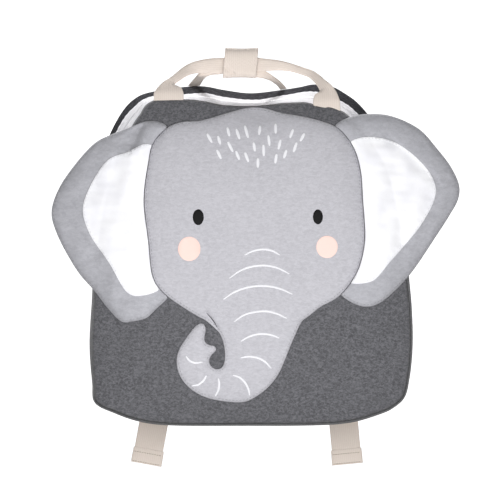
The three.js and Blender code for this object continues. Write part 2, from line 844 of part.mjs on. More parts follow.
function adjuster(side) {
  const frame = new THREE.Shape();
  const half = slotWidth / 2;
  const edge = half + adjusterRail;
  const rectangle = (path, x, low, high) => {
    path.moveTo(-x, low).lineTo(x, low).lineTo(x, high).lineTo(-x, high).closePath();
    return path;
  };
  rectangle(frame, edge, 0, adjusterSize);
  const upper = 2 * adjusterBar + adjusterSlot;
  for (const low of [adjusterBar, upper]) {
    frame.holes.push(rectangle(new THREE.Path(), half, low, low + adjusterSlot));
  }
  const geometry = new THREE.ExtrudeGeometry(frame, { depth: adjusterThickness, bevelEnabled: false });
  geometry.rotateX(Math.PI / 2);
  const y = adjusterStand + adjusterThickness / 2;
  geometry.translate(side * adjusterOffset, y, adjusterHeight - adjusterSize / 2);
  return geometry;
}

// Half turn of webbing round a bar, from the panel's side to the outside.
function turn(x, z, up) {
  const half = point(webbingWidth / 2, 0, 0);
  return Array.from({ length: turnSteps + 1 }, (_, step) => {
    const angle = (step / turnSteps) * Math.PI;
    const y = adjusterStand - plyOffset * Math.cos(angle);
    const rise = up * plyOffset * Math.sin(angle);
    return { middle: point(x, y, z + rise), half: half.clone(), thickness: webbingThickness };
  });
}

function strapTab(side) {
  const x = side * adjusterOffset;
  const barUnder = adjusterTop - adjusterBar;
  const loop = turn(x, barUnder + turnSink, -1);
  const half = loop[0].half;
  const stay = (strapThickness * strapRows[strapRows.length - 1].thick) / 2;
  const y = stay + seamGap + webbingThickness / 2;
  const ply = (way) => [
    { middle: point(x, adjusterStand + way * Math.max(y, plyOffset), strapEnd + tabLap), half, thickness: webbingThickness },
    { middle: point(x, adjusterStand + way * Math.max(y, plyOffset), strapEnd), half, thickness: webbingThickness },
    { middle: point(x, adjusterStand + way * plyOffset, adjusterTop - 1), half, thickness: webbingThickness },
  ];
  return strip([...ply(-1), ...loop, ...ply(1).reverse()]);
}

function webbing(side, tailEnd) {
  const x = side * adjusterOffset;
  const lowBar = adjusterHeight - adjusterSize / 2 + adjusterBar;
  const loop = turn(x, lowBar - turnSink, 1);
  const rest = seamGap + webbingThickness / 2;
  const run = (rows, low, lowX, lowY, highY) =>
    rows.map((row) => {
      const z = mix(lowBar - 4, low, row.down);
      const across = mix(x, side * lowX, row.down);
      const slope = (side * lowX - x) / (lowBar - 4 - low);
      const half = point(1, 0, slope).normalize().multiplyScalar(webbingWidth / 2);
      const thickness = webbingThickness * (row.thick ?? 1);
      return { middle: point(across, mix(highY, lowY, row.fall), z), half, thickness };
    });
  const anchor = run(
    [
      { down: 1.0, fall: 1.0 },
      { down: 0.84, fall: 1.0 },
      { down: 0.6, fall: 0.62 },
      { down: 0.3, fall: 0.2 },
      { down: 0.05, fall: 0.0 },
    ],
    anchorHeight, anchorOffset, rest, adjusterStand - plyOffset,
  );
  const hem = 1 - hemLength / (lowBar + tailDrop);
  const tail = run(
    [
      { down: 0.05, fall: 0.0 },
      { down: 0.35, fall: 0.3 },
      { down: 0.7, fall: 0.8 },
      { down: hem - 0.01, fall: 0.96 },
      { down: hem, fall: 0.97, thick: 2 },
      { down: 1.0, fall: 1.0, thick: 2 },
    ],
    -tailDrop, tailEnd, adjusterStand / 2, adjusterStand + plyOffset,
  );
  return strip([...anchor, ...loop, ...tail]);
}

const group = new THREE.Group();
const add = (name, geometry, look) => {
  const mesh = new THREE.Mesh(geometry, look);
  mesh.name = name;
  group.add(mesh);
};

add("front_panel", frontPanel(), marlCloth);
add("gusset_lower", gussetLower(), marlCloth);
add("gusset_upper", gussetUpper(), marlCloth);
add("zip_tape", zipTape(), zipCloth);
add("zip_coil", zipCoil(), zipCloth);
add("zip_slider", zipSlider(), zipMetal);
add("zip_puller", zipPuller(), zipMetal);
add("back_panel", backPanel(), marlCloth);
add("head", head(), faceCloth);
add("ear_left", earFlap(leftEar), faceCloth);
add("ear_right", earFlap(rightEar), faceCloth);
add("ear_lining_left", earLining(leftEar), liningCloth);
add("ear_lining_right", earLining(rightEar), liningCloth);
add("handle_front", handleFront(), webbingCloth);
add("handle_back", handleBack(), webbingCloth);
add("grip_wrap", gripWrap(), webbingCloth);
for (const [name, side, tailEnd] of [["left", -1, leftTailEnd], ["right", 1, rightTailEnd]]) {
  add(`strap_${name}`, strapPad(side), marlCloth);
  add(`strap_tab_${name}`, strapTab(side), webbingCloth);
  add(`adjuster_${name}`, adjuster(side), plastic);
  add(`webbing_${name}`, webbing(side, tailEnd), webbingCloth);
}

// The bag hangs from the underside of its grip, which is the origin of the finished part.
group.position.set(-grip.x, -grip.y, -(grip.z - gripHeight / 2));

export default group;
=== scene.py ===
import math
import bpy
import numpy as np
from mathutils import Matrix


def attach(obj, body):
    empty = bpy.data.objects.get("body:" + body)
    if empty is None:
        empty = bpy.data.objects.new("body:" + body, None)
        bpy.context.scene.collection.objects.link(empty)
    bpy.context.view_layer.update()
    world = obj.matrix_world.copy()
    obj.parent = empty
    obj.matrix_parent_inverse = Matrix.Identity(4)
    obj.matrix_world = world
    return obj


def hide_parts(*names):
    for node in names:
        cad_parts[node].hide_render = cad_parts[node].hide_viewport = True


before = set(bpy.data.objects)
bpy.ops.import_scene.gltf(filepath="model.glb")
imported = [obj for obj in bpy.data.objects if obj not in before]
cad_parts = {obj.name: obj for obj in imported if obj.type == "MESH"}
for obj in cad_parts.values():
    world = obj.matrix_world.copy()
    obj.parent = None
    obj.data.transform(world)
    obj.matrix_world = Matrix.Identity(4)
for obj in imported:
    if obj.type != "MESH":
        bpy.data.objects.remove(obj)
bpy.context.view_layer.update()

# Sizes are in millimetres of the bag's own frame: x to the viewer's right, y from the front (-)
# to the back (+), z up from the base. toPart turns them into the part's metres.
partShift = (8.5, 31.0, -303.7)

# The camera stands level, distance metres off, and its frame is 437.5 mm wide at the focus.
# low, high: between these heights the paper turns from a grey floor to a glowing backdrop.
studio = {"floor": -1.7, "back": 1.5, "width": 5.0, "curve": 1.2, "height": 5.0, "front": 8.2,
          "low": -1.3, "high": -0.7, "glow": 0.8, "world": 0.18, "distance": 7.0, "frame": 437.5,
          "middleX": -1.75, "middleZ": 153.1, "focus": -50.0, "pixel": 0.875,
          "centre": (249.5, 250)}

bag = {
    "width": 281.0, "height": 297.5, "baseDepth": 92.0, "topDepth": 62.0, "dome": 16.0,
    "sideBulge": 3.5, "seamDrop": 13.0, "wall": 2.0, "seamGap": 0.3, "middleHeight": 148.75,
}

# across: share of half the width; up: share of the height; back, front: how far inside the
# outline the two seams lie, as shares of the seam drop.
bodyRows = np.array([
    (0.0, 0.0, 0.3, 0.15), (0.583, 0.007, 0.3, 0.15), (0.769, 0.029, 0.3, 0.15),
    (0.875, 0.05, 0.3, 0.15), (0.95, 0.082, 0.3, 0.15), (0.981, 0.138, 0.3, 0.15),
    (1.0, 0.235, 0.3, 0.15), (0.994, 0.353, 0.3, 0.15), (0.972, 0.5, 0.3, 0.3),
    (0.95, 0.662, 0.15, 0.65), (0.907, 0.779, 0.1, 0.95), (0.832, 0.853, 0.0, 1.1),
    (0.726, 0.919, 0.0, 1.12), (0.655, 0.955, 0.0, 1.17), (0.583, 0.979, 0.0, 1.26),
    (0.508, 0.998, 0.0, 1.5), (0.389, 1.005, 0.0, 1.57), (0.302, 0.997, 0.0, 1.12),
    (0.178, 0.988, 0.0, 0.96), (-0.009, 0.979, 0.0, 0.95), (-0.165, 0.988, 0.0, 1.1),
    (-0.321, 1.0, 0.0, 1.07), (-0.614, 0.984, 0.0, 0.66), (-0.7, 0.972, 0.0, 0.9),
    (-0.765, 0.95, 0.0, 1.15), (-0.825, 0.914, 0.0, 1.18), (-0.905, 0.842, 0.05, 1.15),
    (-0.963, 0.726, 0.1, 1.0), (-0.984, 0.574, 0.2, 0.5), (-0.988, 0.397, 0.3, 0.15),
    (-1.003, 0.235, 0.3, 0.15), (-0.988, 0.124, 0.3, 0.15), (-0.975, 0.068, 0.3, 0.15),
    (-0.85, 0.036, 0.3, 0.15), (-0.632, 0.006, 0.3, 0.15),
])


def toPart(points):
    return (np.asarray(points, float) + partShift) / 1000


def mix(low, high, share):
    return low + (high - low) * share


def smooth(value, low=0.0, high=1.0):
    # s = x x (3 - 2 x), with x the share of the way from low to high.
    x = np.clip((value - low) / (high - low), 0, 1)
    return x * x * (3 - 2 * x)


def unit(vectors):
    return vectors / np.maximum(np.linalg.norm(vectors, axis=-1, keepdims=True), 1e-9)


def bump(distance, width):
    # e^(-(distance / width)^2)
    return np.exp(-((distance / width) ** 2))


def rounded(value, power):
    # a superellipse's side, sign(v) |v|^power
    return np.sign(value) * np.abs(value) ** power


def lengthsAlong(points):
    return np.concatenate([[0], np.cumsum(np.linalg.norm(np.diff(points, axis=0), axis=1))])


def linked(name, data):
    made = bpy.data.objects.new(name, data)
    bpy.context.scene.collection.objects.link(made)
    return made


def makeMesh(name, points, faces, slot, material, cloth=None, nodes=()):
    # Mesh of points in bag millimetres and blocks of faces, turned to face out by the sign of
    # its volume, sum of a . (b x c) / 6. cloth: along and across the weave, in metres.
    where = toPart(points).astype(np.float32)
    blocks = [np.asarray(block) for block in faces if len(block)]
    volume = 0.0
    for block in blocks:
        for j in range(1, block.shape[1] - 1):
            a, b, c = (where[block[:, k]].astype(float) for k in (0, j, j + 1))
            volume += np.einsum("ij,ij->", a, np.cross(b, c))
    if volume < 0:
        blocks = [block[:, ::-1] for block in blocks]
    corners = np.concatenate([block.ravel() for block in blocks]).astype(np.int32)
    sides = np.concatenate([np.full(len(block), block.shape[1]) for block in blocks])
    starts = np.concatenate([[0], np.cumsum(sides)[:-1]]).astype(np.int32)
    mesh = bpy.data.meshes.new(name)
    mesh.vertices.add(len(where))
    mesh.vertices.foreach_set("co", where.ravel())
    mesh.loops.add(len(corners))
    mesh.loops.foreach_set("vertex_index", corners)
    mesh.polygons.add(len(sides))
    mesh.polygons.foreach_set("loop_start", starts)
    mesh.update(calc_edges=True)
    mesh.validate()
    mesh.shade_smooth()
    if cloth is not None:
        weave = mesh.attributes.new("cloth", "FLOAT_VECTOR", "POINT")
        flat = np.zeros((len(where), 3), np.float32)
        flat[:, : cloth.shape[1]] = cloth
        weave.data.foreach_set("vector", flat.ravel())
    mesh.materials.append(material)
    piece = linked(name, mesh)
    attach(piece, "root")
    if nodes:
        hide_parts(*nodes)
    return piece


def lattice(rows, columns, rowsClose=False, columnsClose=False):
    # Quads of points numbered i * columns + j.
    i = np.arange(rows if rowsClose else rows - 1)[:, None]
    j = np.arange(columns if columnsClose else columns - 1)[None, :]
    at = lambda a, b: (a % rows) * columns + b % columns
    return np.stack([at(i, j), at(i, j + 1), at(i + 1, j + 1), at(i + 1, j)], -1).reshape(-1, 4)


def tube(rings):
    # Closed skin over rings (rows, around, 3), each end shut by its middle point.
    rows, around = rings.shape[:2]
    ends = rings[[0, -1]].mean(axis=1)
    points = np.vstack([rings.reshape(-1, 3), ends])
    j = np.arange(around)
    after = (j + 1) % around
    last = (rows - 1) * around
    first = np.stack([np.full(around, rows * around), after, j], 1)
    final = np.stack([np.full(around, rows * around + 1), last + j, last + after], 1)
    return points, [lattice(rows, around, columnsClose=True), first, final]


def splineAt(corners, u, closed=True):
    # Centripetal Catmull-Rom through the corners. With d the root of each chord, a span's first
    # slope is ((p1-p0)/d0 - (p2-p0)/(d0+d1) + (p2-p1)/d1) d1, and the point is the cubic Hermite of
    # the span. Gives points and slopes.
    corners = np.asarray(corners, float)
    count = len(corners)
    spans = count if closed else count - 1
    u = np.asarray(u, float)
    place = (u % 1.0 if closed else np.clip(u, 0, 1)) * spans
    span = np.minimum(place.astype(int), spans - 1)
    w = (place - span)[:, None]
    if closed:
        p = [corners[(span + k) % count] for k in (-1, 0, 1, 2)]
    else:
        ends = (2 * corners[0] - corners[1], 2 * corners[-1] - corners[-2])
        longer = np.vstack([ends[0], corners, ends[1]])
        p = [longer[span + k] for k in range(4)]
    d = [np.linalg.norm(b - a, axis=1, keepdims=True) ** 0.5 for a, b in zip(p, p[1:])]
    first = ((p[1] - p[0]) / d[0] - (p[2] - p[0]) / (d[0] + d[1]) + (p[2] - p[1]) / d[1]) * d[1]
    second = ((p[2] - p[1]) / d[1] - (p[3] - p[1]) / (d[1] + d[2]) + (p[3] - p[2]) / d[2]) * d[1]
    square = 3 * (p[2] - p[1]) - 2 * first - second
    cube = 2 * (p[1] - p[2]) + first + second
    return p[1] + w * (first + w * (square + w * cube)), first + w * (2 * square + 3 * w * cube)


def evenLoop(corners, step, closed=True):
    # Points at even arc lengths, about step apart, on the spline through the corners.
    points, _ = splineAt(corners, np.linspace(0, 1, 4001), closed)
    lengths = lengthsAlong(points)
    count = max(int(round(lengths[-1] / step)), 4)
    wanted = np.linspace(0, lengths[-1], count + 1)[: count if closed else None]
    return np.stack([np.interp(wanted, lengths, points[:, k]) for k in range(points.shape[1])], 1)


# The bag's outline by share t of its length, counter-clockwise from the middle of the base.
outlineCorners = bodyRows[:, :2] * (bag["width"] / 2, bag["height"])
outlineSteps = np.linspace(0, 1, 401)
outlinePoints, _ = splineAt(outlineCorners, outlineSteps)
outlineLengths = lengthsAlong(outlinePoints)
perimeter = outlineLengths[-1]


def onOutline(t):
    u = np.interp((np.asarray(t, float) % 1.0) * perimeter, outlineLengths, outlineSteps)
    points, slopes = splineAt(outlineCorners, u)
    return u, points, unit(slopes)


def column(k, u):
    place = (u % 1.0) * len(bodyRows)
    row = place.astype(int) % len(bodyRows)
    return mix(bodyRows[row, k], bodyRows[(row + 1) % len(bodyRows), k], place % 1.0)


def seamAt(t, k, extra=0.0):
    # Seam point = outline + (share * drop + extra) * inward normal; k is 2 at the back, 3 at
    # the front.
    u, points, along = onOutline(t)
    inward = np.stack([-along[:, 1], along[:, 0]], 1)
    return points + inward * (column(k, u) * bag["seamDrop"] + extra)[:, None]


def depthAt(z):
    return mix(bag["baseDepth"], bag["topDepth"], np.clip(z / bag["height"], 0, 1) ** 1.4)


seamRing = seamAt(np.arange(1440) / 1440, 3) - (0, bag["middleHeight"])
seamAngles = np.arctan2(seamRing[:, 1], seamRing[:, 0])
seamOrder = np.argsort(seamAngles)
seamReach = np.linalg.norm(seamRing, axis=1)[seamOrder]
seamAngles = seamAngles[seamOrder]


def waves(x, z, seed, size, count=7):
    # Soft unevenness: a mean of sines of about the given size, in seeded directions.
    draw = np.random.default_rng(seed)
    total = 0.0
    for _ in range(count):
        turn, phase = draw.uniform(0, 2 * math.pi, 2)
        rate = 2 * math.pi / (size * draw.uniform(0.7, 1.6))
        total = total + np.sin(rate * (x * math.cos(turn) + z * math.sin(turn)) + phase)
    return total / count


def uneven(x, z, layers):
    # waves of several heights, seeds and sizes
    return sum(height * waves(x, z, seed, size) for height, seed, size in layers)


def crease(x, z, start, end, width, other=None):
    # bump of the distance from the line start-end, with another width right of the line's way
    start, end = np.array(start, float), np.array(end, float)
    along = end - start
    dx, dz = x - start[0], z - start[1]
    share = np.clip((dx * along[0] + dz * along[1]) / (along @ along), 0, 1)
    away = np.hypot(dx - share * along[0], dz - share * along[1])
    wide = np.where(along[0] * dz - along[1] * dx > 0, width, other or width)
    return bump(away, wide)


# waves: height, seed and size of each layer.
frontCloth = {"waves": ((1.1, 3, 95.0), (0.35, 4, 34.0)), "still": 0.16, "turn": 2.0,
              "groove": 0.5, "grooveInset": 4.2, "grooveWidth": 0.9, "around": 480, "rings": 70}


def frontFace(x, z):
    # y = -(depth(z) + dome (1 - s^4)) inside the seam, with s the share of the way to it, and
    # -(depth(z) + 2 dome (1 - s)) beyond; the cloth's unevenness dies out at the seam.
    z0 = z - bag["middleHeight"]
    share = np.hypot(x, z0) / np.interp(
        np.arctan2(z0, x), seamAngles, seamReach, period=2 * math.pi
    )
    rise = np.where(share < 1, 1 - share**4, 2 * (1 - share))
    inner = smooth(1 - share, 0, frontCloth["still"])
    return -(depthAt(z) + bag["dome"] * rise + uneven(x, z, frontCloth["waves"]) * inner)


def wallAt(t, s, inset):
    # Wall between the back seam (s = 0) and the front seam (s = 1), bulged by sin(pi s).
    back, front = seamAt(t, 2, inset), seamAt(t, 3, inset)
    _, _, along = onOutline(t)
    flat = mix(back, front, s[:, None])
    low = 1 - smooth(flat[:, 1] / bag["height"], 0.55, 0.85)
    bulge = bag["sideBulge"] * low * np.sin(math.pi * s)
    rear = -(bag["wall"] + bag["seamGap"])
    fore = -(depthAt(front[:, 1]) - bag["wall"] - bag["seamGap"])
    y = mix(rear, fore, s)
    return np.stack([flat[:, 0] + along[:, 1] * bulge, y, flat[:, 1] - along[:, 0] * bulge], 1)


class Wire:
    # A node's output; + - * / on it add Math nodes.

    def __init__(self, finish, socket):
        self.finish, self.socket = finish, socket

    def joined(self, operation, first, second=None):
        return self.finish.node("Math", {"operation": operation}, first, second)

    def __add__(self, other): return self.joined("ADD", self, other)
    def __radd__(self, other): return self.joined("ADD", other, self)
    def __sub__(self, other): return self.joined("SUBTRACT", self, other)
    def __rsub__(self, other): return self.joined("SUBTRACT", other, self)
    def __mul__(self, other): return self.joined("MULTIPLY", self, other)
    def __rmul__(self, other): return self.joined("MULTIPLY", other, self)
    def __truediv__(self, other): return self.joined("DIVIDE", self, other)
    def __pow__(self, other): return self.joined("POWER", self, other)


class Finish:
    # One material and its nodes.

    def __init__(self, name, **constants):
        self.material = bpy.data.materials.new(name)
        self.material.use_nodes = True
        self.tree = self.material.node_tree
        self.shader = self.tree.nodes["Principled BSDF"]
        for socket, value in constants.items():
            self.shader.inputs[socket.replace("_", " ")].default_value = value

    def node(self, kind, settings=None, *values, out=0, **named):
        made = self.tree.nodes.new("ShaderNode" + kind)
        for key, value in (settings or {}).items():
            setattr(made, key, value)
        for place, value in [*enumerate(values), *named.items()]:
            if value is not None:
                key = place.replace("_", " ") if isinstance(place, str) else place
                self.feed(made.inputs[key], value)
        return Wire(self, made.outputs[out])

    def feed(self, socket, value):
        if isinstance(value, Wire):
            self.tree.links.new(value.socket, socket)
        elif socket.type == "RGBA":
            socket.default_value = (*value, 1.0)
        else:
            socket.default_value = value

    def shaded(self, colour=None, roughness=None, height=None, lift=0.0004, strength=1.0):
        if colour is not None:
            self.feed(self.shader.inputs["Base Color"], colour)
        if roughness is not None:
            self.feed(self.shader.inputs["Roughness"], roughness)
        if height is not None:
            self.feed(self.shader.inputs["Normal"], self.node(
                "Bump", None, Strength=strength, Distance=lift, Height=height))
        return self.material

    def place(self, across=1, tall=None):
        # Object coordinates times a scale, which may be another one up and down.
        scale = (across, across, across if tall is None else tall)
        spot = self.node("TexCoord", out=3)
        return self.node("VectorMath", {"operation": "MULTIPLY"}, spot, scale)

    def noise(self, at, detail=2.0, rough=0.5, bent=0.0):
        return self.node("TexNoise", None, Vector=at, Scale=1.0, Detail=detail, Roughness=rough,
                         Distortion=bent)

    def wave(self, value, per):
        # 0.5 + 0.5 sin(2 pi value / per).
        return self.node("Math", {"operation": "SINE"}, value * (2 * math.pi / per)) * 0.5 + 0.5

    def parts(self, at):
        split = self.node("SeparateXYZ", None, at)
        return [Wire(self, socket) for socket in split.socket.node.outputs]

    def blended(self, share, low, high):
        rest = (None,) * 5
        return self.node("Mix", {"data_type": "RGBA"}, share, *rest, low, high, out=2)

    def clamped(self, value, low, high):
        return self.node("MapRange", {"interpolation_type": "SMOOTHSTEP"}, value, low, high)


def linear(code):
    # Linear colour of an sRGB hex code: ((c + 0.055) / 1.055)^2.4, or c / 12.92 when dark.
    shades = [int(code[k: k + 2], 16) / 255 for k in (0, 2, 4)]
    return tuple(c / 12.92 if c <= 0.04045 else ((c + 0.055) / 1.055) ** 2.4 for c in shades)


knitLooks = {
    "marl": {"dark": "38383c", "mid": "59595c", "light": "8b8b91", "wide": 370.0, "tall": 560.0,
             "contrast": (0.34, 0.7), "knit": 0.0011, "sheen": 0.2},
    # band: the marl in darker colours for the upper gusset, painted shade where the top of the bag
    # is less lit
    "band": {"dark": "2c2c2f", "mid": "47474a", "light": "707076", "wide": 250.0, "tall": 640.0,
             "contrast": (0.36, 0.68), "knit": 0.0011, "sheen": 0.0},
    "face": {"dark": "a8a7ad", "mid": "bdbcc2", "light": "d0cfd5", "wide": 240.0, "tall": 520.0,
             "contrast": (0.3, 0.7), "knit": 0.0011, "sheen": 0.2},
    # ear: the face cloth in darker colours, painted shade for the ears that slope back from the
    # light
    "ear": {"dark": "9d9da3", "mid": "b0b0b6", "light": "c2c2c8", "wide": 210.0, "tall": 420.0,
            "contrast": (0.3, 0.7), "knit": 0.0011, "sheen": 0.2},
}


def knitCloth(name, look):
    # Heathered knit: flecks wider than tall, over the small V's of the stitches.
    f = Finish(name, Roughness=0.95, Sheen_Weight=look["sheen"], Sheen_Roughness=0.6,
               Specular_IOR_Level=look["sheen"])
    flecks = f.noise(f.place(look["wide"], look["tall"]), 3.0, 0.6, 0.7)
    specks = f.noise(f.place(900, 1500), 1.0)
    patches = f.noise(f.place(38), 2.0)
    low, high = look["contrast"]
    share = f.clamped(flecks * 0.72 + specks * 0.28, low, high)
    colour = f.blended(share, linear(look["dark"]), linear(look["light"]))
    colour = f.blended(0.45 + patches * 0.2, colour, linear(look["mid"]))
    x, y, z = f.parts(f.place())
    rib = f.wave(x + y, look["knit"])
    row = f.wave(z, look["knit"] * 0.8)
    height = rib * row * 0.5 + specks * 0.4 + flecks * 0.5
    return f.shaded(colour, 0.88 + specks * 0.1, height, 0.00035, 0.55)


def plainCotton(name, code, shade):
    # Smooth plain weave: thin threads at right angles, softly uneven.
    f = Finish(name, Roughness=0.9, Sheen_Weight=0.15, Specular_IOR_Level=0.25)
    x, _, z = f.parts(f.place())
    threads = f.wave(x, 0.0006) * f.wave(z, 0.0006)
    cloudy = f.noise(f.place(45), 2.0)
    fuzz = f.noise(f.place(1200), 1.0)
    colour = f.blended(f.clamped(cloudy, 0.35, 0.7), linear(code), linear(shade))
    return f.shaded(colour, 0.85 + fuzz * 0.1, threads * 0.5 + fuzz * 0.5, 0.00018, 0.5)


def bandCloth(name, code, shade, rib=0.0017, pick=0.0011, lift=0.0003):
    # Woven band: ribs across it in two sheds, V-shaped, read from the cloth attribute.
    f = Finish(name, Roughness=0.85, Sheen_Weight=0.2, Specular_IOR_Level=0.3)
    along, across, _ = f.parts(f.node("Attribute", {"attribute_name": "cloth"}, out=1))
    lean = f.node("Math", {"operation": "PINGPONG"}, across, rib * 1.6)
    weave = f.wave(along + lean * 0.9, pick)
    cords = f.wave(across, rib)
    fuzz = f.noise(f.place(1500), 2.0)
    soil = f.noise(f.place(60), 2.0)
    colour = f.blended(weave * 0.35 + cords * 0.2 + fuzz * 0.35, linear(shade), linear(code))
    colour = f.blended(f.clamped(soil, 0.45, 0.9) * 0.25, colour, linear(shade))
    return f.shaded(colour, 0.8 + fuzz * 0.15, weave * 0.6 + cords * 0.4 + fuzz * 0.4, lift, 0.8)


def embroidery(name, code, shade, turn=0.0, pitch=0.0005, gloss=0.5):
    # Satin stitch: fine threads side by side, with a silk gleam.
    f = Finish(name, Roughness=gloss, Specular_IOR_Level=0.25)
    x, _, z = f.parts(f.place())
    threads = f.wave(x * math.cos(turn) + z * math.sin(turn), pitch)
    fuzz = f.noise(f.place(900), 2.0)
    colour = f.blended(threads * 0.5 + fuzz * 0.4, linear(shade), linear(code))
    return f.shaded(colour, gloss + fuzz * 0.1, threads * 0.7 + fuzz * 0.3, 0.0001, 0.6)


def hardFinish(name, code, roughness, metallic=0.0, grain=2500.0):
    f = Finish(name, Metallic=metallic)
    fine = f.noise(f.place(grain), 2.0)
    worn = f.noise(f.place(150), 2.0)
    tone = linear(code)
    colour = f.blended(f.clamped(worn, 0.3, 0.8) * 0.3, tone, tuple(c * 0.8 for c in tone))
    return f.shaded(colour, roughness + worn * 0.12, fine, 0.00003, 0.5)


marl = knitCloth("MarlCloth", knitLooks["marl"])
shadedBandMarl = knitCloth("BandMarlShaded", knitLooks["band"])
faceKnit = knitCloth("FaceCloth", knitLooks["face"])
shadedEarKnit = knitCloth("EarClothShaded", knitLooks["ear"])
lining = plainCotton("LiningCloth", "fcfcff", "f3f3f8")
creamBand = bandCloth("CreamWebbing", "f4e9e0", "dacdc2")
zipBand = bandCloth("ZipTape", "ffffff", "f4f2fb", 0.0012, 0.0009, 0.00015)
coilNylon = hardFinish("ZipCoil", "fbfaff", 0.45)
nickel = hardFinish("Nickel", "c6c6c8", 0.28, 1.0)
creamPlastic = hardFinish("CreamPlastic", "dcd5ca", 0.42)
eyeThread = embroidery("EyeThread", "101012", "020203", 0.0, 0.0009, 0.65)
cheekPrint = plainCotton("CheekPrint", "fbdcd3", "f8d3c9")
whiteThread = embroidery("WhiteThread", "fafafc", "e4e4ea", 0.6, 0.0005, 0.6)
faceThread = embroidery("FaceThread", "a6a6ab", "8e8e93", 0.0, 0.0003, 0.7)
# painted shade: dark thread colour for a line laid in the crease under the chin
foldShade = embroidery("FoldShade", "58585c", "47474b", 0.0, 0.0003, 0.8)
liningThread = embroidery("LiningThread", "f2f2f6", "dadae0", 0.0, 0.0003, 0.7)
creamThread = embroidery("CreamThread", "c9bdb0", "a99c8d", 0.0, 0.0003, 0.7)
print("finishes ready")


def lifted(flat, y):
    # places (x, z) at the depth y, which may be one for all
    return np.stack([flat[..., 0], np.broadcast_to(y, flat.shape[:-1]), flat[..., 1]], -1)


def seamFan(around, k, extra=0.0):
    # a seam's points, the panel's middle and the way from it to each
    seam = seamAt(np.arange(around) / around, k, extra)
    middle = np.array([0.0, bag["middleHeight"]])
    return seam, middle, np.linalg.norm(seam - middle, axis=1)


def frontPanel():
    # Dome over rings of shares v of the way to the seam, its edge turned back by a quarter
    # circle, with the cloth's inner side 2 mm behind.
    turn = frontCloth["turn"]
    seam, middle, reach = seamFan(frontCloth["around"], 3)
    shares = np.linspace(0.015, 1, frontCloth["rings"]) ** 0.85
    rings = []
    for share in shares:
        flat = mix(middle, seam, share)
        away = reach * (1 - share)
        fall = turn - np.sqrt(turn**2 - np.clip(turn - away, 0, turn) ** 2)
        groove = frontCloth["groove"] * bump(away - frontCloth["grooveInset"],
                                             frontCloth["grooveWidth"])
        rings.append(lifted(flat, frontFace(*flat.T) + np.minimum(fall, turn - 0.1) + groove))
    for share in shares[::-8]:
        flat = mix(middle, seam, share - 0.004)
        rings.append(lifted(flat, frontFace(*flat.T) + bag["wall"]))
    makeMesh("FrontPanel", *tube(np.stack(rings)), "marl_cloth", marl, nodes=("front_panel",))


def band(name, tLow, tHigh, sLow, sHigh, thickness, columns, rows, slot, material, node,
         lift=None):
    # Closed strip of wall from share tLow to tHigh of the outline and sLow to sHigh of its depth;
    # lift(t, s) moves its outer face out.
    t, v = np.meshgrid(np.linspace(tLow, tHigh, columns), np.linspace(0, 1, rows),
                       indexing="ij")
    s = mix(*(np.broadcast_to(end(t[:, 0]) if callable(end) else end, columns)[:, None]
              for end in (sLow, sHigh)), v)
    raised = lift(t.ravel(), s.ravel()) if lift else 0.0
    outer = wallAt(t.ravel(), s.ravel(), -raised).reshape(columns, rows, 3)
    inner = wallAt(t.ravel(), s.ravel(), np.full(t.size, thickness)).reshape(columns, rows, 3)
    rings = np.concatenate([outer, inner[:, ::-1]], axis=1)
    out = np.stack([t, s], -1) * (perimeter / 1000, 0.075)
    cloth = np.concatenate([out, out[:, ::-1]], 1).reshape(-1, 2)
    cloth = np.vstack([cloth, cloth[:2]])
    makeMesh(name, *tube(rings), slot, material, cloth, (node,))


# coil: shares of its half width and of its height, over one half of it.
zipper = {"rightEnd": 0.252, "leftEnd": 0.765, "slider": 36.0, "tape": 1.2, "coilWidth": 5.0,
          "coilHeight": 0.9, "pitch": 1.5, "swing": 0.28, "groove": 0.06, "grooveInset": 4.2,
          "pucker": 0.12, "puckerPitch": 6.0,
          "coil": ((1.0, 0.05), (0.92, 0.3), (0.6, 0.62), (0.2, 0.75))}

# Across the bag in millimetres, and the share of the wall's depth that the upper gusset takes.
splitRows = np.array([(-116, 0.32), (-107, 0.41), (-96, 0.45), (-85, 0.52), (-72, 0.66),
                      (-53, 0.56), (-40, 0.44), (-12, 0.48), (8, 0.54), (25, 0.44), (43, 0.34),
                      (56, 0.34), (72, 0.42), (82, 0.5), (95, 0.5), (115, 0.46)])


def splitAt(t):
    return np.interp(onOutline(t)[1][:, 0], splitRows[:, 0], splitRows[:, 1])


def tapeMiddle(t):
    return (splitAt(t) + 1) / 2


def sideLift(t, s):
    # Soft puckers beside the seams and slow waves between, at most 0.8 mm.
    x = t * perimeter
    seams = bump(s, 0.08) + bump(1 - s, 0.08)
    edge = smooth(s, 0, 0.05) * smooth(1 - s, 0, 0.05)
    return edge * (0.5 * waves(x, s * 80, 11, 60) + 0.2 * seams * np.sin(x * 2 * math.pi / 8.3))


def gussets():
    gap = bag["seamGap"] / perimeter
    upperEdge = lambda t: splitAt(t) - bag["seamGap"] / bag["topDepth"]
    start, stop = zipper["rightEnd"], zipper["leftEnd"]
    band("GussetLower", stop - 1 + gap, start - gap, 0, 1, bag["wall"], 320, 40,
         "marl_cloth", marl, "gusset_lower", sideLift)
    # the upper gusset takes the darker copy of the marl: painted shade
    band("GussetUpper", start, stop, 0, upperEdge, bag["wall"], 340, 16,
         "marl_cloth", shadedBandMarl, "gusset_upper")
    band("ZipTape", start, stop, splitAt, 1, zipper["tape"], 420, 18,
         "zip_cloth", zipBand, "zip_tape", tapeLift)


def tapeLift(t, s):
    # The tape's two halves dip in a shallow groove beside the coil and pucker softly further out.
    away = np.abs(s - tapeMiddle(t)) * bag["topDepth"]
    groove = zipper["groove"] * bump(away - zipper["grooveInset"], 1.0)
    pucker = zipper["pucker"] * np.sin(t * perimeter * 2 * math.pi / zipper["puckerPitch"])
    return pucker * smooth(away, 6, 12) - groove


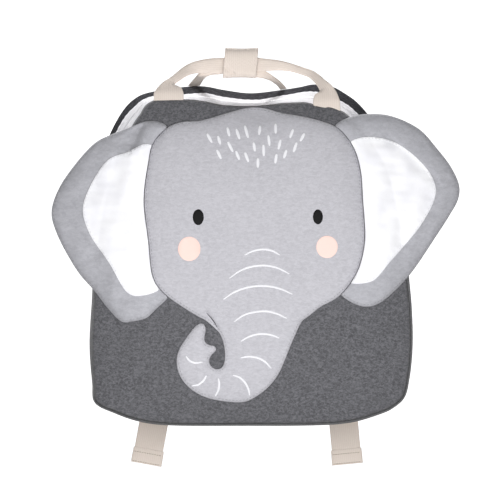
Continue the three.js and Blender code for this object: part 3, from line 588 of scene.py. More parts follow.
def zipCoil():
    # Coil of the closed zip: a strip whose height swings by cos(2 pi x / pitch), so that each
    # turn shows, with a furrow down its middle.
    gap = 8 * bag["seamGap"] / perimeter
    start, stop = zipper["rightEnd"] + gap, zipper["leftEnd"] - gap
    length = (stop - start) * perimeter
    columns = int(length / zipper["pitch"]) * 4
    half = zipper["coilWidth"] / 2
    t = np.linspace(start, stop, columns)
    middle = tapeMiddle(t)
    skin = [(-side, high) for side, high in zipper["coil"]] + [(0.0, 0.55)]
    skin += zipper["coil"][::-1]
    wind = 1 - zipper["swing"] + zipper["swing"] * np.cos(math.pi / 2 * np.arange(columns))
    rings = [wallAt(t, middle + side * half / bag["topDepth"], -zipper["coilHeight"] * high * wind)
             for side, high in skin]
    rings += [wallAt(t, middle + side * half * 0.98 / bag["topDepth"],
                     np.full(columns, bag["seamGap"])) for side, _ in skin[::-2]]
    makeMesh("ZipCoil", *tube(np.stack(rings, 1)), "zip_cloth", coilNylon, nodes=("zip_coil",))


# rings: share of the plan and height; bridge: half span, base and rise, then its wire's half
# thickness and half width; tab: half width, middle and half length; eye: the same.
pull = {"width": 4.4, "length": 5.9, "waist": 0.2, "bridge": (3.6, 1.5, 1.35), "wire": (0.45, 1.2),
        "rings": ((0.86, 0.0), (1.0, 0.35), (1.0, 1.2), (0.8, 1.75), (0.3, 1.9)),
        "tab": (2.9, 6.0, 11.6), "eye": (1.2, -2.6, 1.5), "low": 3.3, "high": 4.7, "bevel": 0.3}


def slider():
    # Slider body: a superellipse plan narrowed at the tail, with a bridge over it; the puller is
    # a flat tab with an eye and a rounded end.
    t = zipper["leftEnd"] - zipper["slider"] / perimeter
    middle = tapeMiddle(np.array([t]))[0]
    lift = zipper["coilHeight"] + 2 * bag["seamGap"]
    spot = lambda place, s: wallAt(np.array([place]), np.array([s]), np.array([-lift]))[0]
    at = spot(t, middle)
    along = unit(spot(t + 0.01, middle) - at)
    fore = spot(t, middle + 0.1) - spot(t, middle - 0.1)
    out = unit(np.cross(along, fore))
    side = np.cross(along, out)

    def placed(local):
        return at + local[..., :1] * side + local[..., 1:2] * along + local[..., 2:] * out

    turn = np.linspace(0, 2 * math.pi, 40, endpoint=False)
    wide, long = rounded(np.cos(turn), 0.7), rounded(np.sin(turn), 0.7)
    wide = wide * (1 - pull["waist"] * smooth(long, -0.6, 1.0))
    rings = [np.stack([pull["width"] * size * wide, pull["length"] * size * long,
                       np.full(len(turn), high)], 1) for size, high in pull["rings"]]
    makeMesh("ZipSlider", *tube(placed(np.stack(rings))), "zip_metal", nickel,
             nodes=("zip_slider",))
    path = np.linspace(0, math.pi, 15)
    around = np.linspace(0, 2 * math.pi, 12, endpoint=False)
    span, base, rise = pull["bridge"]
    centres = np.stack([0 * path, -span * np.cos(path), base + rise * np.sin(path)], 1)
    rims = np.stack([0 * path, -np.cos(path), np.sin(path)], 1)
    rings = centres[:, None] + pull["wire"][0] * np.cos(around)[:, None] * rims[:, None]
    rings = rings + pull["wire"][1] * np.sin(around)[:, None] * np.array([1.0, 0, 0])
    makeMesh("ZipBridge", *tube(placed(rings)), "zip_metal", nickel)
    low, high, bevel = pull["low"], pull["high"], pull["bevel"]
    section = ((0, low + bevel), (0.06, low), (0.94, low), (1, low + bevel), (1, high - bevel),
               (0.94, high), (0.5, high - bevel / 2), (0.06, high), (0, high - bevel))
    rings = []
    for angle in 2 * math.pi * np.linspace(0, 1, 60, endpoint=False):
        (wide, middle, long), (eyeWide, eyeMiddle, eyeLong) = pull["tab"], pull["eye"]
        outer = np.array([wide * rounded(math.cos(angle), 0.5),
                          middle + long * rounded(math.sin(angle), 0.8)])
        inner = np.array([eyeWide * math.cos(angle), eyeMiddle + eyeLong * math.sin(angle)])
        rings.append([(*mix(inner, outer, a), b) for a, b in section])
    rings = placed(np.array(rings))
    makeMesh("ZipPuller", rings.reshape(-1, 3),
             [lattice(60, rings.shape[1], rowsClose=True, columnsClose=True)],
             "zip_metal", nickel, nodes=("zip_puller",))


back = {"furrow": 1.3, "furrowInset": 14.0, "furrowWidth": 1.6, "edge": 0.9, "edgeWidth": 2.0,
        "spine": 1.1, "spineWidth": 1.8, "soft": 0.22, "softSize": 40.0, "padding": 8.0,
        "play": 0.1, "around": 400, "rings": 96}


def backPanel():
    # Padded panel, its outer face on y = 0: rings of shares of the way to the back seam, with
    # quilted furrows that follow the edge and a straight one down the middle.
    seam, middle, reach = seamFan(back["around"], 2, back["play"])
    rings = []
    for share in np.linspace(0.01, 1, back["rings"]) ** 0.9:
        flat = mix(middle, seam, share)
        edge = reach * (1 - share)
        furrow = back["furrow"] * bump(edge - back["furrowInset"], back["furrowWidth"])
        furrow = furrow + back["edge"] * bump(edge, back["edgeWidth"])
        spine = back["spine"] * bump(flat[:, 0], back["spineWidth"])
        spine = spine * smooth(edge, back["furrowInset"], back["furrowInset"] + 4)
        spine = spine * (1 - furrow / back["furrow"]).clip(0, 1)
        soft = back["soft"] * (1 + waves(*flat.T, 21, back["softSize"])) * smooth(edge, 0, 8)
        rings.append(lifted(flat, -furrow - spine - soft))
    for inset, depth in ((0.0, 1.9), (3.0, 2.0), (9.0, back["padding"])):
        rings.append(lifted(seamFan(back["around"], 2, inset + back["play"])[0], -depth))
    rings.append(lifted(mix(middle, seam, 0.05), -back["padding"]))
    piece = makeMesh("BackPanel", *tube(np.stack(rings)), "marl_cloth", marl,
                     nodes=("back_panel",))


# dip: x, z, half width, half height and depth's share of the dent at the top; slit: the fold
# under the chin in photograph pixels, its depth and its width on either side; thin: the trunk's
# lost share of the padding, where that begins and the height it takes.
head = {
    "width": 192.5, "height": 185.5, "shift": 2.2, "chin": 92.75, "padding": 5.0, "edge": 1.6,
    "roll": 1.5, "gap": 0.6, "rise": 8.0, "step": 1.15, "stitchInset": 1.9, "least": 0.25,
    "dip": (5.0, 277.0, 19.0, 13.0, 0.92), "slit": [(206.6, 313), (213, 320.5), (217.4, 327.6)],
    "slitDepth": 2.4, "slitWidths": (1.3, 2.2), "thin": (0.25, 84.0, 30.0),
    "waves": ((0.35, 31, 46.0), (0.12, 32, 17.0)),
}
sewing = {"depth": 0.5, "width": 0.75, "pucker": 0.16, "pitch": 6.2, "sway": 1.7,
          "swaySize": 23.0, "beside": 1.5, "spread": 3.0}

headRows = np.array([
    (0.018, -0.052), (0.436, -0.002), (0.6, 0.059), (0.755, 0.104), (0.882, 0.179),
    (0.955, 0.255), (1.0, 0.373), (0.982, 0.561), (0.964, 0.693), (0.909, 0.797),
    (0.827, 0.863), (0.736, 0.906), (0.509, 0.946), (0.23, 0.973), (0.1, 0.992), (-0.04, 0.996),
    (-0.218, 0.974), (-0.491, 0.934), (-0.673, 0.926), (-0.782, 0.901), (-0.914, 0.825),
    (-0.955, 0.736), (-0.995, 0.561), (-0.955, 0.373), (-0.909, 0.193), (-0.827, 0.13),
    (-0.673, 0.068), (-0.418, -0.005),
])

# The trunk from under the chin's left side round its tip and back, in photograph pixels.
trunkOutline = [
    (205, 300), (196, 314.5), (204.8, 320), (213, 326.6), (219.3, 333.2), (222.4, 340),
    (224.2, 347.5), (225, 355), (224.4, 362), (222.4, 367), (218.8, 369.4), (214.3, 368.8),
    (210.9, 366.4), (209, 362), (210, 357), (213.6, 353.2), (216.4, 349.8), (215.2, 346.6),
    (209.6, 345.2), (205.2, 342.6), (204.2, 338.5), (205.2, 332.9), (205.6, 327.9),
    (203.6, 324.2), (200, 323.5), (196.2, 325.6), (191, 331.5), (185.2, 339.6), (180, 347.6),
    (177, 356), (176.6, 364.8), (179.2, 374.6), (184.8, 383.6), (193, 391), (203, 396.6),
    (214.3, 400), (227, 402), (238.8, 402.8), (247.4, 401.4), (256, 397), (264.4, 391),
    (271.6, 383.8), (278.8, 373.8), (284.6, 361.2), (290.2, 347), (295.6, 334.6), (301.4, 322.6),
    (309, 313), (312, 300),
]

# Outlines out from the root's top, as shares of the ear's reach and height; folds are lines
# pressed in, in millimetres, with their depth and their width left and right of the line's way.
ear = {"height": 175.0, "padding": 7.0, "rise": 6.5, "seamRise": 1.5, "settle": 9.0, "lining": 1.0,
       "step": 1.2, "wrinkle": 1.35, "least": 0.3, "waves": ((1.0, 41, 24.0), (0.35, 42, 10.0)),
       "cover": 0.15, "puff": 0.55, "puffOver": (2, 16), "seam": 0.35, "seamInset": 1.5,
       "ease": 0.12, "easePitch": 7.1, "liningWave": (0.18, 51, 42.0)}
ears = {
    "Left": {
        "side": -1, "reach": 102.0, "root": (-0.782, 0.901),
        "flap": [(0.0, 0.0), (0.085, 0.03), (0.2, 0.03), (0.33, 0.0), (0.49, -0.035),
                 (0.61, -0.07), (0.74, -0.145), (0.93, -0.3), (0.995, -0.42), (0.955, -0.52),
                 (0.765, -0.72), (0.63, -0.81), (0.51, -0.9), (0.385, -0.968), (0.3, -0.965),
                 (0.18, -0.948), (0.09, -0.9), (0.0, -0.85), (-0.07, -0.78), (-0.07, -0.4)],
        "lining": [(0.05, -0.13), (0.18, -0.082), (0.343, -0.122), (0.506, -0.16), (0.67, -0.3),
                   (0.725, -0.41), (0.67, -0.525), (0.498, -0.675), (0.335, -0.825),
                   (0.24, -0.838), (0.04, -0.79), (0.0, -0.45)],
        "folds": [((-95, 269), (-103, 246), 5.0, 4.5, 8.0),
                  ((-176, 210), (-150, 186), 1.2, 3.0, 7.0),
                  ((-154, 240), (-140, 216), 1.0, 6.0, 3.0),
                  ((-166, 184), (-146, 164), 1.2, 3.0, 7.0),
                  ((-152, 140), (-132, 150), 1.0, 6.0, 3.0)],
    },
    "Right": {
        "side": 1, "reach": 108.5, "root": (0.736, 0.908),
        "flap": [(0.0, 0.0), (0.13, 0.048), (0.28, 0.062), (0.42, 0.056), (0.55, 0.03),
                 (0.69, -0.02), (0.82, -0.11), (0.935, -0.205), (1.0, -0.3), (0.99, -0.365),
                 (0.925, -0.44), (0.81, -0.55), (0.605, -0.735), (0.46, -0.83), (0.345, -0.885),
                 (0.25, -0.9), (0.15, -0.885), (0.06, -0.85), (-0.03, -0.79), (0.03, -0.4)],
        "lining": [(0.07, -0.11), (0.202, -0.058), (0.427, -0.068), (0.605, -0.13),
                   (0.766, -0.237), (0.81, -0.328), (0.71, -0.472), (0.444, -0.672),
                   (0.282, -0.775), (0.05, -0.76), (0.1, -0.4)],
        "folds": [((122, 249), (160, 216), 1.9, 3.0, 5.5),
                  ((170, 214), (160, 196), 1.1, 3.0, 7.0),
                  ((172, 190), (160, 186), 1.0, 5.0, 3.0), ((146, 160), (132, 158), 1.0, 4.0, 7.0)],
    },
}


def loopField(loop, x, z):
    # Distance to a closed loop, positive inside, with the nearest point and its place along the
    # loop. Inside is where a ray crosses the loop an odd number of times.
    after = np.roll(loop, -1, axis=0)
    side = after - loop
    length = np.linalg.norm(side, axis=1)
    starts = np.concatenate([[0], np.cumsum(length)[:-1]])
    found = [np.empty(len(x)) for _ in range(4)]
    for low in range(0, len(x), 3000):
        part = slice(low, low + 3000)
        px, pz = x[part, None] - loop[:, 0], z[part, None] - loop[:, 1]
        share = np.clip((px * side[:, 0] + pz * side[:, 1]) / length**2, 0, 1)
        away = (px - share * side[:, 0]) ** 2 + (pz - share * side[:, 1]) ** 2
        near = away.argmin(axis=1)
        pick = np.arange(len(near)), near
        crosses = (loop[:, 1] > z[part, None]) != (after[:, 1] > z[part, None])
        rise = np.where(side[:, 1] == 0, 1e-9, side[:, 1])
        inside = (crosses & (px < side[:, 0] * pz / rise)).sum(axis=1) % 2
        found[0][part] = np.sqrt(away[pick]) * np.where(inside, 1, -1)
        found[1][part] = loop[near, 0] + share[pick] * side[near, 0]
        found[2][part] = loop[near, 1] + share[pick] * side[near, 1]
        found[3][part] = starts[near] + share[pick] * length[near]
    return found


def run(loop, keep):
    # The kept points in order, rolled to begin where the run does.
    begin = int(np.flatnonzero(keep & ~np.roll(keep, 1))[0])
    return np.roll(loop, -begin, axis=0)[np.roll(keep, -begin)]


def joinedLoops(a, b, minus=False):
    # Union of two counter-clockwise loops that cross twice, or a without b.
    outside = run(a, loopField(b, *a.T)[0] < 0)
    depth = loopField(a, *b.T)[0]
    return np.vstack([outside, run(b, depth > 0)[::-1] if minus else run(b, depth < 0)])


def evenly(loop, step):
    closed = np.vstack([loop, loop[:1]])
    lengths = lengthsAlong(closed)
    wanted = np.arange(0, lengths[-1] - step / 2, step)
    return np.stack([np.interp(wanted, lengths, closed[:, k]) for k in (0, 1)], 1)


def offsetLoop(loop, gap):
    # Each point moved out by gap along the loop's outward normal (tz, -tx).
    along = unit(np.roll(loop, -1, axis=0) - np.roll(loop, 1, axis=0))
    return loop + gap * np.stack([along[:, 1], -along[:, 0]], 1)


def headPlace(rows):
    rows = np.asarray(rows, float)
    return (head["shift"], head["chin"]) + rows * (head["width"] / 2, head["height"])


faceLoop = evenLoop(headPlace(headRows), 1.5)


def photoPlace(spots, ahead=62.0):
    # photograph pixels to millimetres on a face that lies this far ahead of the focus
    near = 1 - ahead / (studio["distance"] * 1000)
    middle = np.array([studio["middleX"], studio["middleZ"]])
    flat = (np.array(spots, float) - studio["centre"]) * (studio["pixel"], -studio["pixel"])
    return middle + flat * near


def softened(loop, spread, step):
    # mean of each point's neighbours along the loop, weighed by a bump of their distance
    reach = int(3 * spread / step)
    shifts = np.arange(-reach, reach + 1)
    weights = bump(shifts * step, spread)
    return sum(w * np.roll(loop, k, axis=0) for k, w in zip(shifts, weights)) / weights.sum()


def headShape():
    # the face and the trunk as one patch, its inner corners eased
    trunk = evenLoop(photoPlace(trunkOutline), 0.8)
    after = np.roll(trunk, -1, axis=0)
    area = np.sum(trunk[:, 0] * after[:, 1] - after[:, 0] * trunk[:, 1])
    whole = evenly(joinedLoops(faceLoop, trunk if area > 0 else trunk[::-1]), 0.75)
    return evenly(softened(whole, 1.6, 0.75), 1.2)


headLoop = headShape()


def padLift(away, edge, full, rise):
    # edge roll sqrt(1 - (1 - d / roll)^2), then the rise (full - edge) (1 - e^(-d / rise))
    roll = np.sqrt(np.clip(1 - (1 - np.clip(away / head["roll"], 0, 1)) ** 2, 0, 1))
    return edge * (0.35 + 0.65 * roll) + (full - edge) * (1 - np.exp(-np.maximum(away, 0) / rise))


def sewn(away, arc):
    # Stitched furrow at the inset, and small puckers between it and the padding.
    past = away - head["stitchInset"]
    sway = sewing["sway"] * np.sin(arc / sewing["swaySize"])
    pucker = sewing["pucker"] * np.sin(arc * 2 * math.pi / sewing["pitch"] + sway)
    furrow = sewing["depth"] * bump(past, sewing["width"])
    return furrow + pucker * bump(past - sewing["beside"], sewing["spread"])


def headLift(x, z):
    away, _, _, arc = loopField(headLoop, x, z)
    lost, below, height = head["thin"]
    full = head["padding"] * (1 - lost * smooth(below - z, 0, height))
    lift = padLift(away, head["edge"], full, head["rise"]) - sewn(away, arc)
    lift = lift + smooth(away, 2, 10) * uneven(x, z, head["waves"])
    slit = crease(x, z, *photoPlace(head["slit"][::2]), *head["slitWidths"])
    lift = lift - head["slitDepth"] * slit * smooth(away, 0, head["roll"])
    dipX, dipZ, wide, tall, depth = head["dip"]
    lift = lift * (1 - depth * bump(x - dipX, wide) * bump(z - dipZ, tall))
    return head["gap"] + np.maximum(lift, head["least"])


def headFront(x, z):
    return frontFace(x, z) - headLift(x, z)


def earPlace(form, rows):
    root = headPlace(form["root"])
    rows = np.array(rows) * (form["side"] * form["reach"], ear["height"])
    loop = evenLoop(root + rows, 1.5)
    return loop if form["side"] < 0 else loop[::-1]


def earLift(form, x, z):
    # the softer lower of two lifts, -log(e^(-a) + e^(-b)): the padding, and the rise from the head
    away, _, _, arc = loopField(form["loop"], x, z)
    near = np.maximum(-loopField(faceLoop, x, z)[0], 0)
    high = ear["padding"] + head["gap"]
    full = mix(ear["seamRise"] + 2 * head["gap"], high, 1 - np.exp(-near / ear["settle"]))
    pad = padLift(away, head["edge"], high, ear["rise"])
    lift = -np.logaddexp(-pad, -full) - sewn(away, arc)
    soft = smooth(away, 1, 7) * smooth(near, 0, 8)
    lift = lift + ear["wrinkle"] * soft * uneven(x, z, ear["waves"])
    for start, end, deep, left, right in form["folds"]:
        lift = lift - deep * crease(x, z, start, end, left, right) * smooth(away, 0.2, 4)
    return head["gap"] + np.maximum(lift, ear["least"])


def clippedPatch(loop, step, low, high):
    # Cloth cut to a loop: the cells of a lattice whose middles lie inside it, with the border
    # points drawn on to the loop and the rows beside them evened out. Back y = low(x, z), front
    # y = high(x, z).
    start = loop.min(axis=0) - step
    count = np.ceil((loop.max(axis=0) - start) / step).astype(int) + 2
    grid = np.stack(np.meshgrid(np.arange(count[0]), np.arange(count[1]), indexing="ij"), -1)
    flat = (start + grid * step).reshape(-1, 2)
    cells = lattice(count[0], count[1])
    centres = flat[cells].mean(axis=1)
    cells = cells[loopField(loop, *centres.T)[0] > 0]
    used, cells = np.unique(cells, return_inverse=True)
    cells = cells.reshape(-1, 4)
    flat = flat[used]
    edges = np.concatenate([cells[:, (k, (k + 1) % 4)] for k in range(4)])
    code = edges[:, 0] * len(flat) + edges[:, 1]
    rim = edges[~np.isin(code, edges[:, 1] * len(flat) + edges[:, 0])]
    border = np.zeros(len(flat), bool)
    border[rim] = True
    flat[border] = np.stack(loopField(loop, *flat[border].T)[1:3], 1)
    fringe = border.copy()
    for _ in range(2):
        fringe[np.unique(cells[fringe[cells].any(axis=1)])] = True
    free = fringe & ~border
    for _ in range(4):
        total, share = np.zeros_like(flat), np.zeros(len(flat))
        np.add.at(total, edges[:, 0], flat[edges[:, 1]])
        np.add.at(share, edges[:, 0], 1)
        flat[free] = mix(flat[free], total[free] / share[free, None], 0.6)
    x, z = flat[:, 0], flat[:, 1]
    size = len(flat)
    walls = np.stack([rim[:, 1], rim[:, 0], rim[:, 0] + size, rim[:, 1] + size], 1)
    return (np.vstack([lifted(flat, high(x, z)), lifted(flat, low(x, z))]),
            [cells, cells[:, ::-1] + size, walls])


def stitches(name, path, lift, slot, material, pitch=3.1, length=2.1, radius=0.26,
             closed=True):
    # Short capsules of thread along a path: six-sided rings of radius r at the places
    # (-l, -l/2, l/2, l), sunk a little into the cloth.
    corners = np.vstack([path, path[:1]]) if closed else path
    lengths = lengthsAlong(corners)
    places = np.arange(pitch / 2, lengths[-1] - pitch / 2, pitch)
    spots, tips = (np.stack([np.interp(at, lengths, corners[:, k]) for k in (0, 1)], 1)
                   for at in (places, places + 0.5))
    turn = np.linspace(0, 2 * math.pi, 6, endpoint=False)
    size = np.array([[0.45], [1.0], [1.0], [0.45]])
    far = np.array([[-1.0], [-0.7], [0.7], [1.0]])
    wide, high = radius * size * np.cos(turn), radius * size * np.sin(turn)
    aheadX, aheadZ = unit(tips - spots).T[:, :, None, None]
    x = spots[:, 0, None, None] + far * length / 2 * aheadX - wide * aheadZ
    z = spots[:, 1, None, None] + far * length / 2 * aheadZ + wide * aheadX
    y = lift(*spots.T)[:, None, None] - high - radius * (0.35 - 0.3 * np.abs(far)) + 0 * x
    points = np.stack([x, y, z], -1).reshape(-1, 3)
    offset = (np.arange(len(spots)) * 24)[:, None, None]
    quads = (lattice(4, 6, columnsClose=True)[None] + offset).reshape(-1, 4)
    ends = np.array([[5, 4, 3, 2, 1, 0], [18, 19, 20, 21, 22, 23]])
    caps = (ends[None] + offset).reshape(-1, 6)
    makeMesh(name, points, [quads, caps], slot, material)


def underHead(x, z):
    return frontFace(x, z) - head["gap"]


def headPatch():
    piece = makeMesh("Head", *clippedPatch(headLoop, head["step"], underHead, headFront),
                     "face_cloth", faceKnit, nodes=("head",))
    stitches("HeadStitches", evenly(offsetLoop(headLoop, -head["stitchInset"]), 1.0), headFront,
             "face_cloth", faceThread)


def earPatches(name):
    form = ears[name]
    form["loop"] = earPlace(form, form["flap"])
    clear = evenly(offsetLoop(faceLoop, bag["seamGap"]), 1.5)
    cut = evenly(joinedLoops(form["loop"], clear, minus=True), 1.5)
    top = lambda x, z: frontFace(x, z) - earLift(form, x, z)
    # the flap wears the darker copy of the face cloth: painted shade
    flap = makeMesh("Ear" + name, *clippedPatch(cut, ear["step"], underHead, top), "face_cloth",
                    shadedEarKnit, nodes=("ear_" + name.lower(),))
    inLoop = earPlace(form, form["lining"])
    inner = evenly(joinedLoops(inLoop, clear, minus=True), 1.5)

    def liningTop(x, z):
        # Over the flap by the lining's thickness, a soft puff, and puckers beside its seam.
        away, _, _, arc = loopField(inLoop, x, z)
        puff = ear["puff"] * smooth(away, *ear["puffOver"])
        puff = puff - ear["seam"] * bump(away - ear["seamInset"], 0.7)
        ease = ear["ease"] * np.sin(arc * 2 * math.pi / ear["easePitch"]) * bump(away - 3, 2.5)
        cover = ear["cover"] + ear["lining"] * 0.8 + uneven(x, z, [ear["liningWave"]])
        return top(x, z) - cover - puff - ease

    patch = clippedPatch(inner, ear["step"], lambda x, z: top(x, z) - 0.1, liningTop)
    makeMesh("EarLining" + name, *patch, "lining_cloth", lining,
             nodes=("ear_lining_" + name.lower(),))
    for kind, loop, inset, face, slot, thread in (
            ("EarStitches", form["loop"], head["stitchInset"], top, "face_cloth", faceThread),
            ("LiningStitches", inLoop, ear["seamInset"], liningTop, "lining_cloth", liningThread)):
        edge = offsetLoop(loop, -inset)
        edge = run(edge, loopField(faceLoop, *edge.T)[0] < -1.5)
        stitches(kind + name, edge, face, slot, thread, closed=False)


# Places on the face in millimetres: x, z of the middle, then the half width and half height.
eyes = [(-46.3, 181.6, 4.85, 6.9), (57.7, 181.9, 4.35, 6.5)]
cheeks = [(-54.1, 154.1, 9.8, 10.6), (65.6, 155.8, 9.4, 9.7)]

# Wrinkle lines across the trunk, in photograph pixels.
wrinkles = [
    [(244.5, 255), (252.5, 251.2), (262.5, 249.3), (271.5, 250.6), (280, 255)],
    [(229.3, 278.3), (240, 270.8), (252, 266.6), (265, 265.5), (277.5, 268), (289.5, 274)],
    [(223.3, 299.5), (235, 291.8), (249, 287.2), (265, 286), (280, 288.8), (292.5, 294.3)],
    [(233.6, 322.1), (244.3, 315), (255.7, 312), (267.1, 311.4), (277.3, 314), (287.1, 318.6)],
    [(240.7, 341.4), (250, 336.4), (261, 334), (270.8, 335), (279.3, 338.1)],
    [(240.7, 357.9), (248.6, 356.8), (257.1, 357.9), (264.6, 361.6), (271.4, 368.6)],
    [(232.9, 375.3), (240, 378), (245.5, 383.6), (248.6, 390), (249.6, 395.7)],
    [(218.3, 378.6), (219.2, 384.3), (218, 391), (215.2, 396.4)],
    [(206.4, 375.7), (203.4, 380.7), (198.4, 384.8), (191.7, 386.2)],
    [(186.1, 356.4), (189.3, 360.7), (195, 363), (202.6, 362.1)],
]

# The tuft's dashes: middle in photograph pixels, lean in degrees, length in pixels.
tuft = [
    (209.3, 137.6, -29, 10.6), (219, 139.6, -17, 9), (228.3, 131.1, -14, 9.4),
    (237.9, 133.6, -18, 11), (246.4, 131, -15, 13), (259.6, 129.7, 8, 9.2), (275.7, 127.9, 0, 10),
    (291.7, 132.9, 20, 9.4), (302.6, 136.7, 28, 9), (230.3, 146.4, -27, 11.5),
    (218.9, 154, -26, 10.2), (237.6, 155, -22, 9.7), (246.7, 156.7, -20, 10.6),
    (254.3, 146.4, -9, 9.3), (269, 140, -7, 10.8), (263.6, 150, -2, 11.6), (279.6, 144, 14, 10.2),
    (257.9, 162.6, 0, 9.6), (276, 158.3, 8, 9.6), (285.3, 153.6, 18, 9), (295.3, 146.7, 19, 10.4),
]
marks = {"fold": 0.9, "wrinkle": 1.75, "dash": 2.6, "Eye": 0.7, "Cheek": 0.15, "discEdge": 0.12,
         "lineEdge": 0.08, "lineCrown": 0.3, "sunk": 0.3}


def disc(name, spot, slot, material, raised):
    # Disc on the face: rings of share r, y = face - raised (1 - r^6) - the edge's height.
    turn = np.linspace(0, 2 * math.pi, 56, endpoint=False)
    rings = []
    for share in (0.04, 0.3, 0.55, 0.75, 0.88, 0.96, 1.0):
        flat = spot[:2] + share * np.stack([spot[2] * np.cos(turn), spot[3] * np.sin(turn)], 1)
        high = raised * (1 - share**6) + marks["discEdge"] * (share < 1)
        rings.append(lifted(flat, headFront(*flat.T) - high))
    rings += [rings[-1] + (0, marks["sunk"], 0), rings[0] + (0, 0.5 + raised, 0)]
    makeMesh(name, *tube(np.stack(rings)), slot, material)


def line(spots, width, samples=36, taper=0.22):
    # Raised line of thread: half width w (sin(pi u))^taper, crown (1 - a^2).
    u = np.linspace(0, 1, samples)
    path, slope = splineAt(spots, u, closed=False)
    along = unit(slope)
    half = width / 2 * np.maximum(np.sin(math.pi * np.clip(u, 0.02, 0.98)) ** taper, 0.2)
    across = np.array([-1.0, -0.7, 0.0, 0.7, 1.0])
    side = np.stack([-along[:, 1], along[:, 0]], 1)
    flat = path[:, None] + (half[:, None] * across)[..., None] * side[:, None]
    y = headFront(*flat.reshape(-1, 2).T).reshape(flat.shape[:2])
    top = lifted(flat, y - marks["lineEdge"] - marks["lineCrown"] * (1 - across**2))
    return tube(np.concatenate([top, lifted(flat, y + marks["sunk"])[:, ::-1]], axis=1))


def joinedMesh(name, bodies, slot, material):
    points, faces, count = [], [], 0
    for spots, blocks in bodies:
        faces += [block + count for block in blocks]
        points.append(spots)
        count += len(spots)
    makeMesh(name, np.vstack(points), faces, slot, material)


def faceMarks():
    for kind, spots, thread in (("Eye", eyes, eyeThread), ("Cheek", cheeks, cheekPrint)):
        for name, spot in zip(("Left", "Right"), spots):
            disc(kind + name, spot, "face_cloth", thread, marks[kind])
    # a dark raised line along the chin's crease, painted shade
    joinedMesh("ChinFoldShade", [line(photoPlace(head["slit"]), marks["fold"])], "face_cloth", foldShade)
    joinedMesh("TrunkLines", [line(photoPlace(spots), marks["wrinkle"]) for spots in wrinkles],
               "face_cloth", whiteThread)
    dashes = []
    for across, down, lean, length in tuft:
        turn = math.radians(lean)
        reach = np.array([math.sin(turn), -math.cos(turn)]) * length / 2
        ends = [(across, down) + way * reach for way in (1, 0, -1)]
        dashes.append(line(photoPlace(ends), marks["dash"], 12, 0.3))
    joinedMesh("Tuft", dashes, "face_cloth", whiteThread)


def profile(kind, count=28):
    # Cross-section (a across, b through) in -1..1: a superellipse, with a notch down one edge
    # where a folded band's two free edges meet.
    turn = np.linspace(0, 2 * math.pi, count, endpoint=False)
    power = {"band": (0.35, 0.75), "folded": (0.5, 0.8), "pad": (0.55, 0.9)}[kind]
    a, b = rounded(np.cos(turn), power[0]), rounded(np.sin(turn), power[1])
    return a - 0.28 * bump(b, 0.22) * (a > 0) * (kind == "folded"), b


def bandRings(stations, samples, kind, ripple=0.0, seed=1):
    # Cross-sections (a, b) carried along the spline through stations (middle, half width vector,
    # thickness), the normal being along x half.
    middles, halves, thick = (np.array(part, float) for part in zip(*stations))
    length = lengthsAlong(middles)
    shares = np.linspace(0, 1, len(middles))
    u = np.interp(np.linspace(0, length[-1], samples), length, shares)
    path, slope = splineAt(middles, u, closed=False)
    half = np.stack([np.interp(u, shares, halves[:, k]) for k in range(3)], 1)
    depth = np.interp(u, shares, thick)
    normal = unit(np.cross(slope, half))
    along = lengthsAlong(path)
    a, b = profile(kind)
    wide = np.linalg.norm(half, axis=1)
    wave = 1 + ripple * waves(along, along * 0, seed, 14)
    rings = path[:, None] + (a[None] * wave[:, None])[..., None] * half[:, None]
    rings = rings + (b[None] * depth[:, None] / 2)[..., None] * normal[:, None]
    cloth = np.stack(np.broadcast_arrays(along[:, None], a[None] * wide[:, None]), -1) / 1000
    cloth = np.vstack([cloth.reshape(-1, 2), cloth[0, :1], cloth[-1, :1]])
    return rings, cloth


handles = {"width": 25.5, "thickness": 4.6, "baseThickness": 1.7, "seat": 0.7, "backDrop": 7.5,
           "frontX": (-72.0, 65.5), "backX": (-50.5, 28.0)}
grip = {"at": np.array([-8.5, -31.0, 317.2]), "length": 29.0, "height": 27.0, "depth": 21.0,
        "wall": 2.4, "lean": 2.2, "pinch": 0.05, "dent": 2.0, "hem": 0.35, "end": 0.5}

# along, rise: shares of the way from the leg's base to the grip; width, thick: shares of the
# band's width and full thickness.
legs = {
    "frontLeft": [(0.0, -0.05, 1.06, 0.37), (0.0, 0.16, 1.04, 0.4), (0.008, 0.3, 0.84, 0.5),
                  (0.004, 0.4, 0.45, 0.7), (0.034, 0.475, 0.28, 0.85), (0.085, 0.55, 0.29, 0.95),
                  (0.197, 0.723, 0.335, 1.0), (0.277, 0.815, 0.38, 1.0), (0.362, 0.87, 0.43, 1.0),
                  (0.493, 0.905, 0.5, 1.0), (0.618, 0.915, 0.55, 1.0), (0.81, 0.93, 0.56, 1.0)],
    "frontRight": [(0.0, -0.075, 0.98, 0.37), (0.004, 0.106, 0.94, 0.4), (0.004, 0.233, 0.81, 0.5),
                   (-0.006, 0.31, 0.62, 0.65), (0.012, 0.4, 0.46, 0.85), (0.056, 0.505, 0.36, 0.95),
                   (0.11, 0.62, 0.32, 1.0), (0.178, 0.726, 0.29, 1.0), (0.275, 0.8, 0.27, 1.0),
                   (0.414, 0.887, 0.29, 1.0), (0.55, 0.936, 0.36, 1.0), (0.785, 0.957, 0.47, 1.0)],
    "backLeft": [(0.0, 0.0, 0.42, 0.37), (0.11, 0.5, 0.3, 0.7), (0.21, 0.8, 0.3, 0.9),
                 (0.48, 1.11, 0.34, 1.0), (0.75, 1.25, 0.38, 1.0)],
    "backRight": [(0.0, 0.0, 0.24, 0.37), (0.084, 0.25, 0.2, 0.7), (0.2, 0.48, 0.2, 0.9),
                  (0.37, 0.72, 0.24, 1.0), (0.61, 0.91, 0.34, 1.0)],
}


def seamTop(x, k):
    # Highest point of a seam near x.
    seam = seamAt(0.25 + 0.5 * np.arange(1441) / 1440, k)
    near = seam[np.abs(seam[:, 0] - x) < bag["width"] / 200]
    return near[near[:, 1].argmax()]


